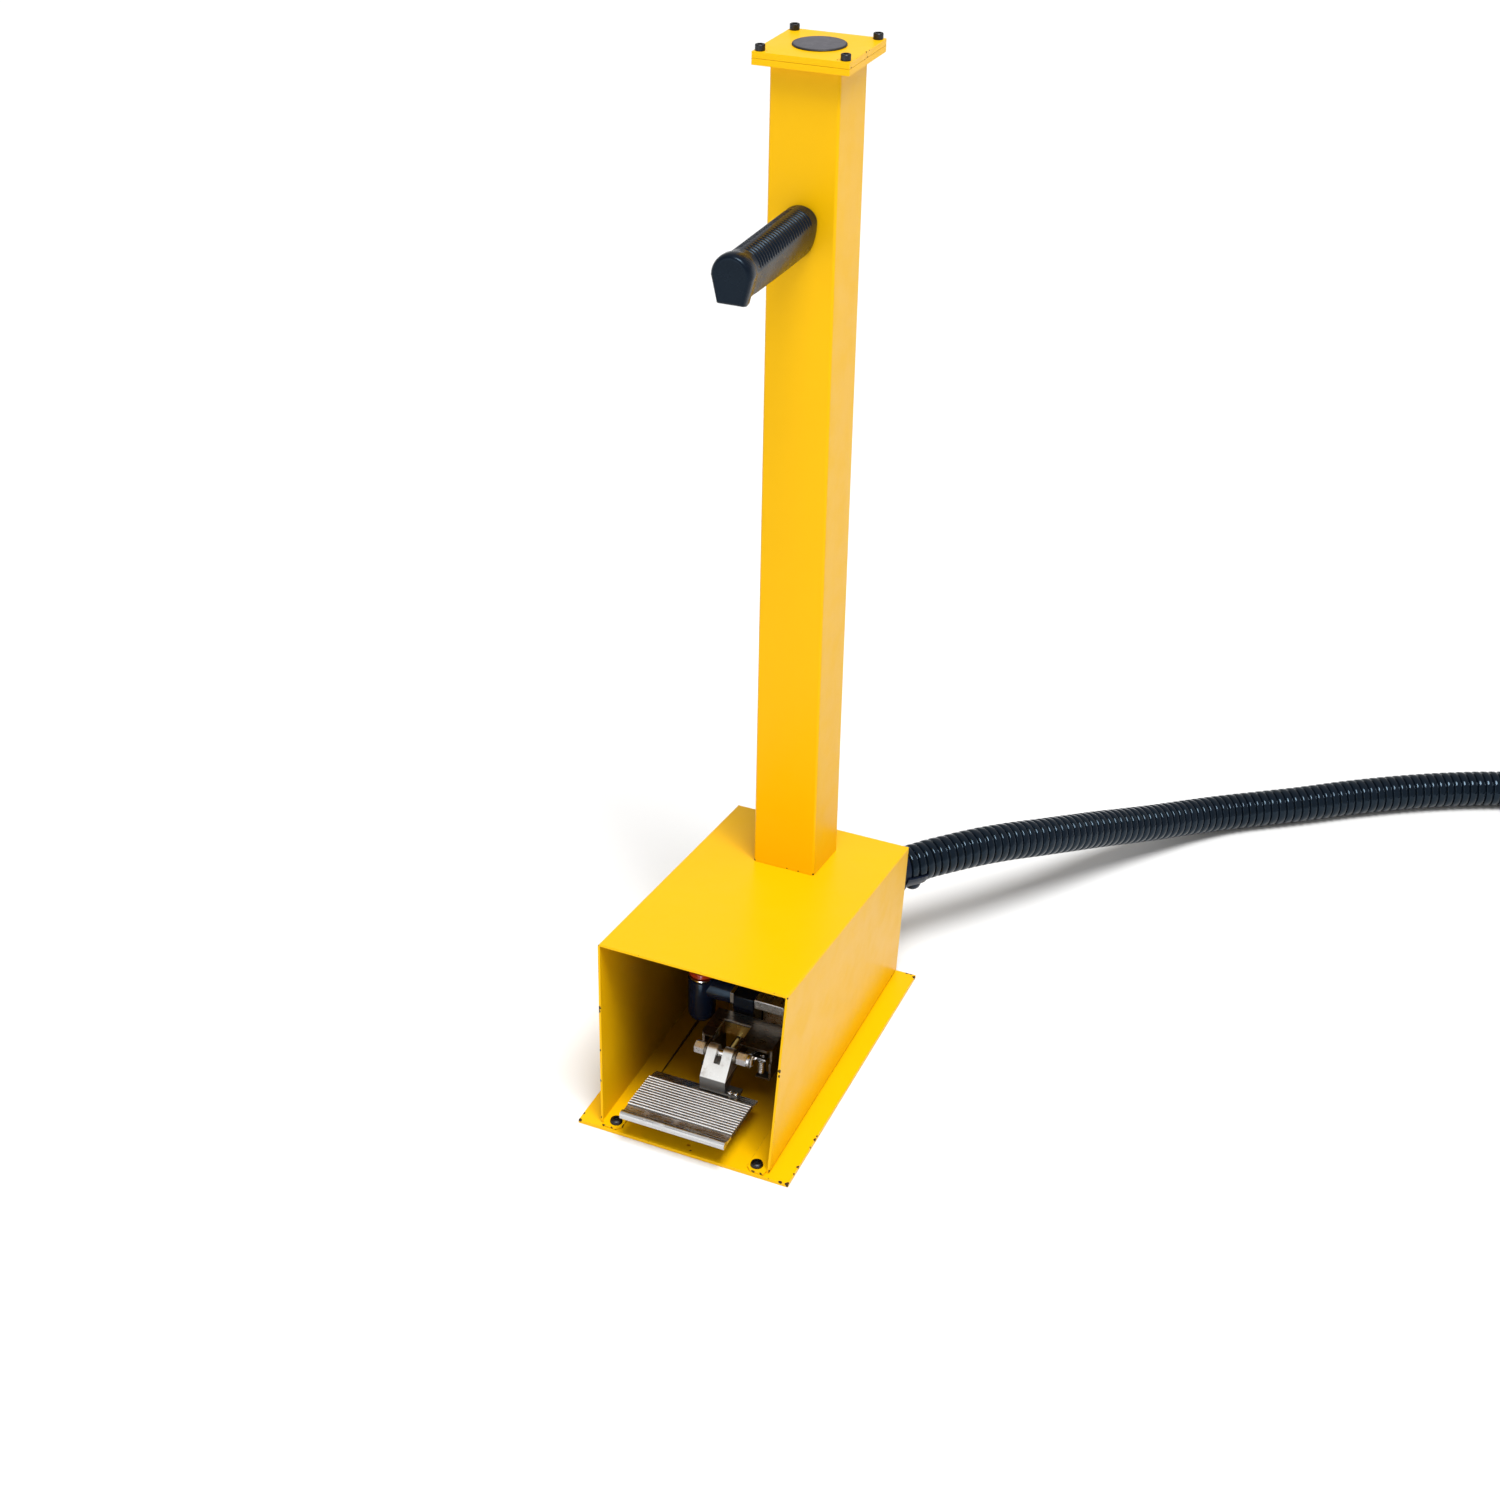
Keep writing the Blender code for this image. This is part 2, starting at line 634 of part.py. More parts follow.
def handle_grip():
    """The moulded grip, lofted from the column to its free end, with a blind hole for the core bar."""
    mesh = bpy.data.meshes.new("handle_grip")
    shape = bmesh.new()
    rim_y = GRIP_FRONT_Y + 1.2
    stations = [*np.linspace(COLUMN_FACE, 100, 8), 94, 90, 82, rim_y, GRIP_FRONT_Y]
    shrink = [1.0] * (len(stations) - 2) + [0.985, 0.93]
    rings = []
    for y, size in zip(stations, shrink):
        rings.append(
            [
                shape.verts.new(metres(x * size, y, GRIP_CENTRE_Z + (z - GRIP_CENTRE_Z) * size))
                for x, z in grip_section(max(y, rim_y))
            ]
        )
    for near, far in zip(rings, rings[1:]):
        for i in range(len(near)):
            j = (i + 1) % len(near)
            shape.faces.new((near[i], near[j], far[j], far[i]))
    shape.faces.new(rings[0])
    shape.faces.new(rings[-1])
    bmesh.ops.recalc_face_normals(shape, faces=shape.faces)
    shape.to_mesh(mesh)
    shape.free()
    grip = bpy.data.objects.new("handle_grip", mesh)
    PARTS.objects.link(grip)
    deep = GRIP_CORE_LENGTH + 2
    drill = drills(
        "grip_drill",
        [(0, COLUMN_FACE - deep / 2 + 5, GRIP_CORE_Z)],
        GRIP_CORE_RADIUS + GAP,
        deep + 10,
        "Y",
    )
    show(boolean(grip, drill, "DIFFERENCE"), black_plastic(), 40)
    core = [(0, 0), (GRIP_CORE_RADIUS, 0), (GRIP_CORE_RADIUS, -GRIP_CORE_LENGTH), (0, -GRIP_CORE_LENGTH)]
    bar = turned("handle_core", core, (0, COLUMN_FACE, GRIP_CORE_Z), (0, 1, 0))
    show(bar, bright_steel())


# ---------------------------------------------------------------- pedal


def tread_point(along, up):
    """A point of the tread's section, measured forwards and upwards from the rear end of its top face."""
    forward = Vector((-math.cos(TREAD_TILT), math.sin(TREAD_TILT)))
    normal = Vector((math.sin(TREAD_TILT), math.cos(TREAD_TILT)))
    return tuple(Vector(TREAD_REAR) + forward * along + normal * up)


def tread():
    """An extruded tread: cross ribs, a smooth channel, a round nose bar and a rear lip that falls away."""
    ribs_end = RIB_COUNT * RIB_PITCH
    section = [(-LIP_DEPTH, -6.5), (-LIP_DEPTH + 0.5, -4.0), (-0.6, -0.8)]
    for rib in range(RIB_COUNT):
        start = rib * RIB_PITCH
        middle = start + RIB_PITCH / 2
        crown = arc((middle, RIB_HEIGHT - RIB_RADIUS), RIB_RADIUS, 180, 0, 7)
        section += [(middle - RIB_RADIUS, 0), *crown, (middle + RIB_RADIUS, 0)]
    nose = (TREAD_DEPTH - NOSE_RADIUS, -2.2)
    section += [(ribs_end + 1, CHANNEL_UP), (nose[0] - NOSE_RADIUS - 0.5, CHANNEL_UP)]
    section += arc(nose, NOSE_RADIUS, 161, -90, 14)
    section += [(nose[0] - NOSE_RADIUS, TREAD_UNDERSIDE), (0, TREAD_UNDERSIDE)]
    outline = [tread_point(along, up) for along, up in section]
    plate = side_plate("pedal_tread", outline, TREAD_X - TREAD_WIDTH / 2, TREAD_X + TREAD_WIDTH / 2)
    places = [(x, TREAD_SCREW_Y, 30) for x in TREAD_SCREW_XS]
    boolean(plate, drills("tread_drills", places, TREAD_SCREW_DRILL, 40, segments=12), "DIFFERENCE")
    show(plate, aluminium())


def pedal_arm():
    """The cast arm: a sloping block with two ears round the pin, a nose for the plunger and a foot flange."""
    ear = 8.5
    outline = [(ARM_FOOT_FRONT, ARM_FOOT_TOP - 1), (ARM_FOOT_FRONT + 0.6, ARM_FOOT_TOP + 13)]
    outline += arc((PIVOT_Y, PIVOT_Z), ear, 132, 0, 9)
    outline += [(80.0, 62)]
    outline += arc((PIVOT_Y + 5, PLUNGER_Z), 5.5, 30, -100, 7)
    outline += [(66, 45), (60, ARM_FOOT_TOP - 1)]
    arm = side_plate("pedal_arm", outline, ARM_X - ARM_WIDTH / 2, ARM_X + ARM_WIDTH / 2)
    flange = [(ARM_FOOT_FRONT, 35.6), (ARM_FOOT_FRONT, ARM_FOOT_TOP), (60.5, ARM_FOOT_TOP), (60.5, 34.2)]
    foot = side_plate("arm_foot", flange, ARM_X - ARM_WIDTH / 2 + 0.5, ARM_X + 30)
    boolean(arm, foot, "UNION")
    slot = block("arm_slot_cutter", (ARM_X - ARM_SLOT_HALF, 57, 60), (ARM_X + ARM_SLOT_HALF, 90, 90))
    boolean(arm, slot, "DIFFERENCE")
    pin = drills("arm_pin_drill", [(ARM_X, PIVOT_Y, PIVOT_Z)], PIN_RADIUS + GAP, 60, "X")
    boolean(arm, pin, "DIFFERENCE")
    places = [(x, TREAD_SCREW_Y, 36) for x in TREAD_SCREW_XS]
    boolean(arm, drills("arm_screw_drills", places, TREAD_SCREW_DRILL, 12, segments=12), "DIFFERENCE")
    show(arm, bright_steel())


def tread_screws():
    """Two pan head screws through the arm's foot flange and the tread's rear lip."""
    profile = [(0, 2.2), (2.2, 2.0), (3.2, 0.9), (3.2, 0), (2.0, 0), (2.0, -9), (0, -9)]
    for number, x in enumerate(TREAD_SCREW_XS, 1):
        seat = (x, TREAD_SCREW_Y, ARM_FOOT_TOP + GAP)
        show(turned(f"tread_screw_{number}", profile, seat, steps=12), bright_steel())


def pivot():
    """The pin that turns with the arm, and the long nuts on its ends."""
    left, right = -27.0, 42.5
    pin = [(0, right), (PIN_RADIUS - 0.6, right), (PIN_RADIUS, right - 0.6), (PIN_RADIUS, left + 0.6)]
    pin += [(PIN_RADIUS - 0.6, left), (0, left)]
    show(turned("pivot_pin", pin, (0, PIVOT_Y, PIVOT_Z), (1, 0, 0)), bright_steel())
    for name, low, high, corner in (
        ("pivot_nut_left", -26.0, WINDOW_LEFT - SHEET - GAP, 7.5),
        ("pivot_nut_right", WINDOW_RIGHT + SHEET + GAP, 36.0, 7.5),
        ("lever_nut", 39.6, 42.0, 6.2),
    ):
        nut = hex_nut(name, (low, PIVOT_Y, PIVOT_Z), "X", high - low, corner, PIN_RADIUS + GAP)
        show(nut, bright_steel(), 20)


def return_lever():
    """The lever on the pin's end whose tab pulls on the return spring."""
    low_x, high_x = 36.3, 39.3
    outline = arc((PIVOT_Y, PIVOT_Z), 8, 250, 60, 12) + [(SPRING_Y + 5, 66), (SPRING_Y + 5, 62.6)]
    lever = side_plate("return_lever", outline, low_x, high_x)
    tab = block("lever_tab", (low_x, SPRING_Y - 5, 62.6), (SPRING_X + 6, SPRING_Y + 5, 65.4))
    boolean(lever, tab, "UNION")
    pin = drills("lever_pin_drill", [(low_x, PIVOT_Y, PIVOT_Z)], PIN_RADIUS + GAP, 20, "X")
    boolean(lever, pin, "DIFFERENCE")
    eye = drills("lever_eye_drill", [(SPRING_X, SPRING_Y, 64)], 1.5, 10, segments=12)
    show(boolean(lever, eye, "DIFFERENCE"), bright_steel())


def return_spring():
    """An extension spring whose straight ends pass through the lever's tab and the bracket's tab."""
    turns, wire, coil = 6, 0.7, 4.2
    low, high = SPRING_LOW_Z + 2, SPRING_HIGH_Z - 2
    bottom = SPRING_LOW_Z - 4.5
    points = [(SPRING_X + 3, SPRING_Y, bottom), (SPRING_X, SPRING_Y, bottom), (SPRING_X, SPRING_Y, low - 1)]
    for step in range(turns * 10 + 1):
        angle = math.tau * step / 10
        share = step / (turns * 10)
        points.append(
            (SPRING_X + coil * math.cos(angle), SPRING_Y + coil * math.sin(angle), low + (high - low) * share)
        )
    top = SPRING_HIGH_Z + 5
    points += [(SPRING_X, SPRING_Y, high + 1), (SPRING_X, SPRING_Y, top), (SPRING_X + 3, SPRING_Y, top)]
    show(round_tube("return_spring", points, wire, 1), bright_steel())


# ---------------------------------------------------------------- valve


def bracket_screw_places():
    return [(x, y) for x in (BRACKET_LEFT - 8, BRACKET_RIGHT + 8) for y in BRACKET_SCREW_YS]


def riser_screw_places():
    return [(x, VALVE_BACK + 6) for x in RISER_SCREW_XS]


def valve_bracket():
    """A bent steel bracket: a notched top, two lugs for the pin, a rear flap, outer cheeks with feet."""
    low = BRACKET_TOP_Z - SHEET
    top = [
        (BRACKET_LEFT, BRACKET_FRONT + 5), (BRACKET_LEFT + 5, BRACKET_FRONT),
        (WINDOW_LEFT, BRACKET_FRONT), (WINDOW_LEFT, WINDOW_REAR),
        (WINDOW_RIGHT, WINDOW_REAR), (WINDOW_RIGHT, BRACKET_FRONT),
        (BRACKET_RIGHT - 5, BRACKET_FRONT), (BRACKET_RIGHT, BRACKET_FRONT + 5),
        (BRACKET_RIGHT, BRACKET_BACK), (BRACKET_LEFT, BRACKET_BACK),
    ]
    bracket = level_plate("valve_bracket", [top], low, BRACKET_TOP_Z)
    lug = arc((PIVOT_Y, PIVOT_Z), 8, 90, 270, 9) + [(WINDOW_REAR + 2, 59), (WINDOW_REAR + 2, 77.5)]
    cheek = [
        (BRACKET_FRONT + 5, 78.3), (BRACKET_FRONT + 5, 52), (BRACKET_FRONT + 20, 46), (117, HOOD_FOOT_Z),
        (150, HOOD_FOOT_Z), (150, 44), (137, 50), (BRACKET_BACK, 78.3),
    ]
    walls = (
        ("lug_left", lug, WINDOW_LEFT - SHEET, WINDOW_LEFT - 0.01),
        ("lug_right", lug, WINDOW_RIGHT + 0.01, WINDOW_RIGHT + SHEET),
        ("cheek_left", cheek, BRACKET_LEFT + 0.01, BRACKET_LEFT + SHEET),
        ("cheek_right", cheek, BRACKET_RIGHT - SHEET, BRACKET_RIGHT - 0.01),
    )
    for name, outline, low_x, high_x in walls:
        boolean(bracket, side_plate(name, outline, low_x, high_x), "UNION")
    tab_low, tab_high = SPRING_TAB
    blocks = (
        ("flap", (WINDOW_LEFT - 1, WINDOW_REAR, 60), (WINDOW_RIGHT + 1, WINDOW_REAR + SHEET, 77)),
        ("foot_left", (BRACKET_LEFT - 14, 117.5, HOOD_FOOT_Z + 0.01), (BRACKET_LEFT + 1, 149, 6.8)),
        ("foot_right", (BRACKET_RIGHT - 1, 117.5, HOOD_FOOT_Z + 0.01), (BRACKET_RIGHT + 14, 149, 6.8)),
        ("spring_tab", (SPRING_X - 5, SPRING_Y - 5, tab_low), (BRACKET_RIGHT - 1, SPRING_Y + 6, tab_high)),
        ("spring_tab_leg", (BRACKET_RIGHT - SHEET + 0.02, SPRING_Y - 4, tab_low + 0.4), (56.9, 112, 60)),
    )
    for name, low_corner, high_corner in blocks:
        boolean(bracket, block(name, low_corner, high_corner), "UNION")
    pin = drills("lug_drill", [(5, PIVOT_Y, PIVOT_Z)], PIN_RADIUS + GAP, 50, "X")
    boolean(bracket, pin, "DIFFERENCE")
    eye = drills("spring_tab_drill", [(SPRING_X, SPRING_Y, tab_high)], 1.5, 8, segments=12)
    boolean(bracket, eye, "DIFFERENCE")
    places = [(*place, 6) for place in bracket_screw_places()]
    feet = drills("bracket_foot_drills", places, FOOT_SCREW_DRILL + 0.2, 12)
    show(boolean(bracket, feet, "DIFFERENCE"), bracket_steel())


def foot_screws():
    """Pan head screws that hold the bracket and the riser to the base plate."""
    seat = HOOD_FOOT_Z + SHEET + GAP
    tip = 0.5 - seat
    profile = [(0, 3.0), (3.0, 2.8), (4.6, 1.3), (4.6, 0), (2.4, 0), (2.4, tip), (0, tip)]
    named = [("bracket_screw", bracket_screw_places()), ("riser_screw", riser_screw_places())]
    for name, places in named:
        for number, (x, y) in enumerate(places, 1):
            show(turned(f"{name}_{number}", profile, (x, y, seat), steps=12), bright_steel())


def valve_riser():
    """The stand under the valve: a sheet bent up, across and down again to its feet."""
    mesh = bpy.data.meshes.new("valve_riser")
    shape = bmesh.new()
    foot = HOOD_FOOT_Z + SHEET
    line = [(157.5, foot), (157.5, VALVE_FLOOR - GAP), (VALVE_BACK - 2, VALVE_FLOOR - GAP)]
    line += [(VALVE_BACK - 2, foot), (VALVE_BACK + 12, foot)]
    rails = [[shape.verts.new(metres(x, y, z)) for y, z in line] for x in (-12, 50)]
    for i in range(len(line) - 1):
        shape.faces.new((rails[0][i], rails[1][i], rails[1][i + 1], rails[0][i + 1]))
    shape.to_mesh(mesh)
    shape.free()
    riser = bpy.data.objects.new("valve_riser", mesh)
    PARTS.objects.link(riser)
    solidify = riser.modifiers.new("Solidify", "SOLIDIFY")
    solidify.thickness = SHEET * MM
    solidify.offset = -1
    solidify.use_even_offset = True
    places = [(*place, 6) for place in riser_screw_places()]
    feet = drills("riser_foot_drills", places, FOOT_SCREW_DRILL + 0.2, 12)
    show(boolean(riser, feet, "DIFFERENCE"), bracket_steel())


def valve():
    """The valve: a stepped aluminium body, a black front block for the plunger, and a bright side plate."""
    port = (SUPPLY_PORT_X, VALVE_BACK, REAR_PORT_Z)
    exhaust = (EXHAUST_X, VALVE_BACK, REAR_PORT_Z)
    body_low = (VALVE_SEAM + GAP, VALVE_FRONT, VALVE_FLOOR)
    body = block("valve_body", body_low, (VALVE_RIGHT, VALVE_BACK, VALVE_TOP + 2))
    step_low = (VALVE_SEAM - 1, VALVE_FRONT - 1, VALVE_FLOOR - 1)
    step = block("valve_step_cutter", step_low, (VALVE_RIGHT + 1, VALVE_FRONT + VALVE_STEP_DEPTH, VALVE_STEP_Z))
    boolean(body, step, "DIFFERENCE")
    boolean(body, drills("valve_port_drill", [port], 6.3, 20, "Y"), "DIFFERENCE")
    show(bevel(body, 1.0, 1), aluminium())
    head = block("valve_head", (VALVE_LEFT, VALVE_FRONT, VALVE_FLOOR), (VALVE_SEAM, VALVE_BACK, VALVE_TOP))
    bore = drills("plunger_bore", [(ARM_X, VALVE_FRONT, PLUNGER_Z)], PLUNGER_RADIUS + GAP, 40, "Y")
    boolean(head, bore, "DIFFERENCE")
    boolean(head, drills("exhaust_drill", [exhaust], 5.3, 20, "Y"), "DIFFERENCE")
    show(bevel(head, 1.0, 1), black_plastic())
    face = VALVE_LEFT - GAP
    side_low = (face - SIDE_PLATE_THICKNESS, VALVE_FRONT + 2, VALVE_FLOOR)
    side = block("valve_side_plate", side_low, (face, VALVE_BACK - 30, VALVE_TOP + 1))
    hole = drills("side_plate_drill", [(face, ELBOW_Y, ELBOW_BRANCH_Z)], 8.3, 20, "X")
    show(boolean(side, hole, "DIFFERENCE"), bright_steel())


def plunger():
    """The plunger that the arm's nose pushes back into the valve."""
    head_front = PIVOT_Y + 10.5 + GAP
    length = VALVE_FRONT + 12 - head_front
    profile = [(0, 0), (5.2, 0), (6, -0.8), (6, -4), (PLUNGER_RADIUS, -4.4), (PLUNGER_RADIUS, -length)]
    profile.append((0, -length))
    rod = turned("valve_plunger", profile, (ARM_X, head_front, PLUNGER_Z), (0, -1, 0))
    show(rod, bright_steel())


def elbow_fitting():
    """The large push-in elbow on the valve's left, with its ring and its release collar."""
    top = ELBOW_TOP_Z
    profile = [(0, top), (ELBOW_RADIUS - 2, top), (ELBOW_RADIUS, top - 2)]
    profile.append((ELBOW_RADIUS, ELBOW_BOTTOM_Z + 15))
    profile += arc((ELBOW_RADIUS - 12, ELBOW_BOTTOM_Z + 12), 12, 0, -90, 7)
    profile.append((0, ELBOW_BOTTOM_Z))
    elbow = turned("elbow_fitting", profile, (ELBOW_X, ELBOW_Y, 0), steps=32)
    plate_face = VALVE_LEFT - GAP - SIDE_PLATE_THICKNESS
    reach = plate_face - GAP - ELBOW_X
    rim = ELBOW_BRANCH_RADIUS
    branch_profile = [(0, reach), (rim - 1, reach), (rim, reach - 2), (rim, 0), (0, 0)]
    branch = turned("elbow_branch", branch_profile, (ELBOW_X, ELBOW_Y, ELBOW_BRANCH_Z), (1, 0, 0), 32)
    boolean(elbow, branch, "UNION")
    bore = drills("elbow_bore", [(ELBOW_X, ELBOW_Y, top)], 9.2, 28)
    show(boolean(elbow, bore, "DIFFERENCE"), black_plastic())
    ring = [(15.0, top + 2.3), (15.0, top + GAP), (10.2, top + GAP), (10.2, top + 2.3)]
    show(turned("elbow_ring", ring, (ELBOW_X, ELBOW_Y, 0), steps=32, closed=True), bright_steel())
    sleeve = TUBE_RADIUS + GAP
    collar = [(14.0, top + 10.5), (14.8, top + 9.7), (14.8, top + 4.6), (8.9, top + 4.6)]
    collar += [(8.9, top - 10), (sleeve, top - 10), (sleeve, top + 10.5)]
    show(turned("release_collar", collar, (ELBOW_X, ELBOW_Y, 0), steps=32, closed=True), red_plastic())
    depth = SIDE_PLATE_THICKNESS
    nipple = turned(
        "elbow_nipple",
        [(0, 0), (8, 0), (8, -depth + 0.1), (0, -depth + 0.1)],
        (VALVE_LEFT - GAP - 0.05, ELBOW_Y, ELBOW_BRANCH_Z),
        (1, 0, 0),
        24,
    )
    show(nipple, bright_steel())


def rear_fitting():
    """The straight push-in fitting and the exhaust silencer at the back of the valve."""
    inner = TUBE_RADIUS + GAP
    profile = [(9, 22), (9, 6), (10, 5), (10, GAP), (6, GAP), (6, -THREAD_LENGTH)]
    profile += [(4, -THREAD_LENGTH), (4, 8), (inner, 8), (inner, 22)]
    port = (SUPPLY_PORT_X, VALVE_BACK, REAR_PORT_Z)
    show(turned("rear_fitting", profile, port, (0, 1, 0), 24, True), black_plastic())
    silencer = [(0, 26), (4, 26), (7, 23), (7, 6), (8, 6), (8, GAP), (5, GAP)]
    silencer += [(5, -THREAD_LENGTH), (0, -THREAD_LENGTH)]
    exhaust = (EXHAUST_X, VALVE_BACK, REAR_PORT_Z)
    show(turned("exhaust_silencer", silencer, exhaust, (0, 1, 0)), bronze())


def air_tubes():
    """The two air tubes inside the hood, each whole from its fitting to the conduit's throat."""
    throat = HOOD_FOOT_REAR_Y + 1.3
    start = ELBOW_TOP_Z - 9
    supply = [(ELBOW_X, ELBOW_Y, start), (ELBOW_X, ELBOW_Y, start + 21), (ELBOW_X, ELBOW_Y, start + 35)]
    supply += [(-55, 161, 145), (-46, 175, 160), (-30, 202, 168), (-4, 238, 168), (26, 274, 159)]
    supply += [(52, 308, 143), (67, 336, 127), (72.2, 356, 121.5), (72.6, 367, 121), (72.6, throat, 121)]
    fitting = (SUPPLY_PORT_X, VALVE_BACK, REAR_PORT_Z)
    outlet = [(fitting[0], fitting[1] + out, fitting[2]) for out in (8.5, 22, 34)]
    outlet += [(37, 256, 74), (50, 282, 86), (67, 310, 104), (80, 335, 116.5)]
    outlet += [(85, 355, 120.7), (85.4, 367, 121), (85.4, throat, 121)]
    for name, route in (("supply_tube", supply), ("outlet_tube", outlet)):
        show(round_tube(name, smooth_route(route, 26), TUBE_RADIUS), black_plastic())


# ---------------------------------------------------------------- conduit


def elbow_path():
    """The centre line of the elbow outside the rear panel, down to the conduit's start."""
    start = np.array((CONDUIT_X, HOOD_FOOT_REAR_Y, CONDUIT_Z))
    backwards = np.array((0.0, 1.0, 0.0))
    end, beyond = (np.array(place) for place in smooth_route(HOSE_ROUTE, HOSE_POINTS)[:2])
    heading = (beyond - end) / np.linalg.norm(beyond - end)
    end = end - heading * GAP
    points = [tuple(start)]
    for t in np.linspace(0, 1, 9):
        first = start + backwards * (ELBOW_STRAIGHT + ELBOW_REACH * t)
        last = end - heading * (ELBOW_STRAIGHT + ELBOW_REACH * (1 - t))
        share = t * t * (3 - 2 * t)
        points.append(tuple(first * (1 - share) + last * share))
    return [*points, tuple(end)]


def hose_elbow():
    """The elbow adaptor behind the rear panel, with its threaded end and lock nut inside."""
    elbow = as_mesh(round_tube("hose_elbow", elbow_path(), 20.0, 4))
    thread = CONDUIT_THREAD_RADIUS
    thread_profile = [(0, 3), (thread, 3), (thread, -12), (0, -12)]
    place = (CONDUIT_X, HOOD_FOOT_REAR_Y, CONDUIT_Z)
    boolean(elbow, turned("elbow_thread", thread_profile, place, (0, 1, 0), 32), "UNION")
    throat = drills("elbow_throat", [place], 13.2, 46, "Y", 32)
    show(boolean(elbow, throat, "DIFFERENCE"), black_plastic())
    inside = HOOD_FOOT_REAR_Y - 11.2
    lock_nut = hex_nut("conduit_lock_nut", (CONDUIT_X, inside, CONDUIT_Z), "Y", 7, 20.2, thread + 0.4)
    show(lock_nut, black_plastic(), 20)


def hose():
    """The corrugated conduit as a plain tube, and the threaded connector on its far end."""
    points = smooth_route(HOSE_ROUTE, HOSE_POINTS)
    show(round_tube("hose", points, HOSE_RADIUS, 4), black_plastic())
    end = np.array(points[-1])
    heading = end - np.array(points[-2])
    heading /= np.linalg.norm(heading)
    start = end + heading * GAP
    thread = [(0, 62), (15, 62), (16.5, 60.5), (16.5, 36)]
    nut = [(22, 36), (22, 27), (26.5, 25), (26.5, 2), (24.5, 0), (0, 0)]
    show(turned("hose_end", thread + nut, tuple(start), tuple(heading), 32), black_plastic())


def main():
    for obj in list(bpy.data.objects):
        bpy.data.objects.remove(obj)
    bpy.context.scene.collection.children.link(PARTS)
    bpy.context.scene.collection.children.link(CUTTERS)
    base_plate()
    hood()
    rear_panel()
    hood_bolts()
    column()
    plate_top = end_plates()
    hole_plug(plate_top)
    top_screws(plate_top)
    handle_grip()
    tread()
    pedal_arm()
    tread_screws()
    pivot()
    return_lever()
    return_spring()
    valve_bracket()
    foot_screws()
    valve_riser()
    valve()
    plunger()
    elbow_fitting()
    rear_fitting()
    air_tubes()
    hose_elbow()
    hose()


main()
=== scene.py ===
import math

import bmesh
import bpy
import numpy as np
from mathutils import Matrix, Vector


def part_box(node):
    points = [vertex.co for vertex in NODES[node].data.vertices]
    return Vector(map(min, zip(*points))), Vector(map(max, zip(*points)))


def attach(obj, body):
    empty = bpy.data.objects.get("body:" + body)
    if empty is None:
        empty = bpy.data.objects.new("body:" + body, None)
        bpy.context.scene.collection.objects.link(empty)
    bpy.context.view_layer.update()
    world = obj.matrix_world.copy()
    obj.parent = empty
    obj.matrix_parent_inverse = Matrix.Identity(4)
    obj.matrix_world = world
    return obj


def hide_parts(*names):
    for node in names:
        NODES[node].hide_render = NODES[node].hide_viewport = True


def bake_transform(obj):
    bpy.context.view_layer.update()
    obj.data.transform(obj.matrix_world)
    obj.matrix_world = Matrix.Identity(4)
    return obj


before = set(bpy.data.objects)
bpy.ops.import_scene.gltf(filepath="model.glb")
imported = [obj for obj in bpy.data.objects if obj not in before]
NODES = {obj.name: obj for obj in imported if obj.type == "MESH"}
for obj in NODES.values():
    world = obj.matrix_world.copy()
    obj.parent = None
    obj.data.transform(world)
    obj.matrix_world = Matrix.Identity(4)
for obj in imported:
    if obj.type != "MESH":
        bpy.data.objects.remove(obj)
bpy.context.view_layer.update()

# A foot switch pedestal in yellow paint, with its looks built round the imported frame.
# Lengths are in metres, in the frame's own axes: +Z up, and the open front towards -Y.

# ---------------------------------------------------------------- sizes

# The sky is bright at the horizon and dimmer above the given heights of a view's direction
SKY_STRENGTH = 0.48
HORIZON_STRENGTH = 1.0
SKY_FADE_START = 0.03
SKY_FADE_END = 0.16
FLOOR_RADIUS = 24
FLOOR_DROP = 0.0004  # keeps the floor clear of the base plate's underside

HOSE_RADIUS = 0.023
HOSE_PITCH = 0.0108
HOSE_AROUND = 40
HOSE_SPACING = 0.001
# Radius of one rib of the conduit, as (share of the pitch, drop from the crest)
HOSE_RIB = (
    (0.00, 0.0034), (0.05, 0.0029), (0.10, 0.0015), (0.17, 0.0005), (0.30, 0.0),
    (0.52, 0.0001), (0.72, 0.0), (0.84, 0.0005), (0.91, 0.0015), (0.96, 0.0029),
)
# The route of the conduit's centre line, the same one that the CAD model follows
HOSE_ROUTE = (
    (0.0862, 0.246, 0.1254), (0.0995, 0.2635, 0.124), (0.1077, 0.2755, 0.1235), (0.1255, 0.2975, 0.1223),
    (0.152, 0.3325, 0.1185), (0.178, 0.3705, 0.1105), (0.204, 0.4115, 0.099), (0.230, 0.4555, 0.086),
    (0.2565, 0.5025, 0.0715), (0.284, 0.5485, 0.057), (0.3126, 0.5935, 0.044), (0.342, 0.6355, 0.034),
    (0.373, 0.6725, 0.027), (0.406, 0.7025, 0.0238), (0.463, 0.7445, 0.0233), (0.520, 0.7885, 0.0233),
    (0.580, 0.8305, 0.0233), (0.639, 0.8665, 0.0233), (0.699, 0.8965, 0.0233), (0.757, 0.9165, 0.0233),
    (0.818, 0.9215, 0.0233), (0.877, 0.9075, 0.0233), (0.929, 0.8745, 0.0233), (0.969, 0.8275, 0.0233),
    (0.993, 0.7705, 0.0236), (1.001, 0.7105, 0.0255), (1.001, 0.6805, 0.0273), (1.001, 0.6555, 0.0273),
)

ROUTE_STEPS = 40  # points between two places of a route, before they are spaced evenly

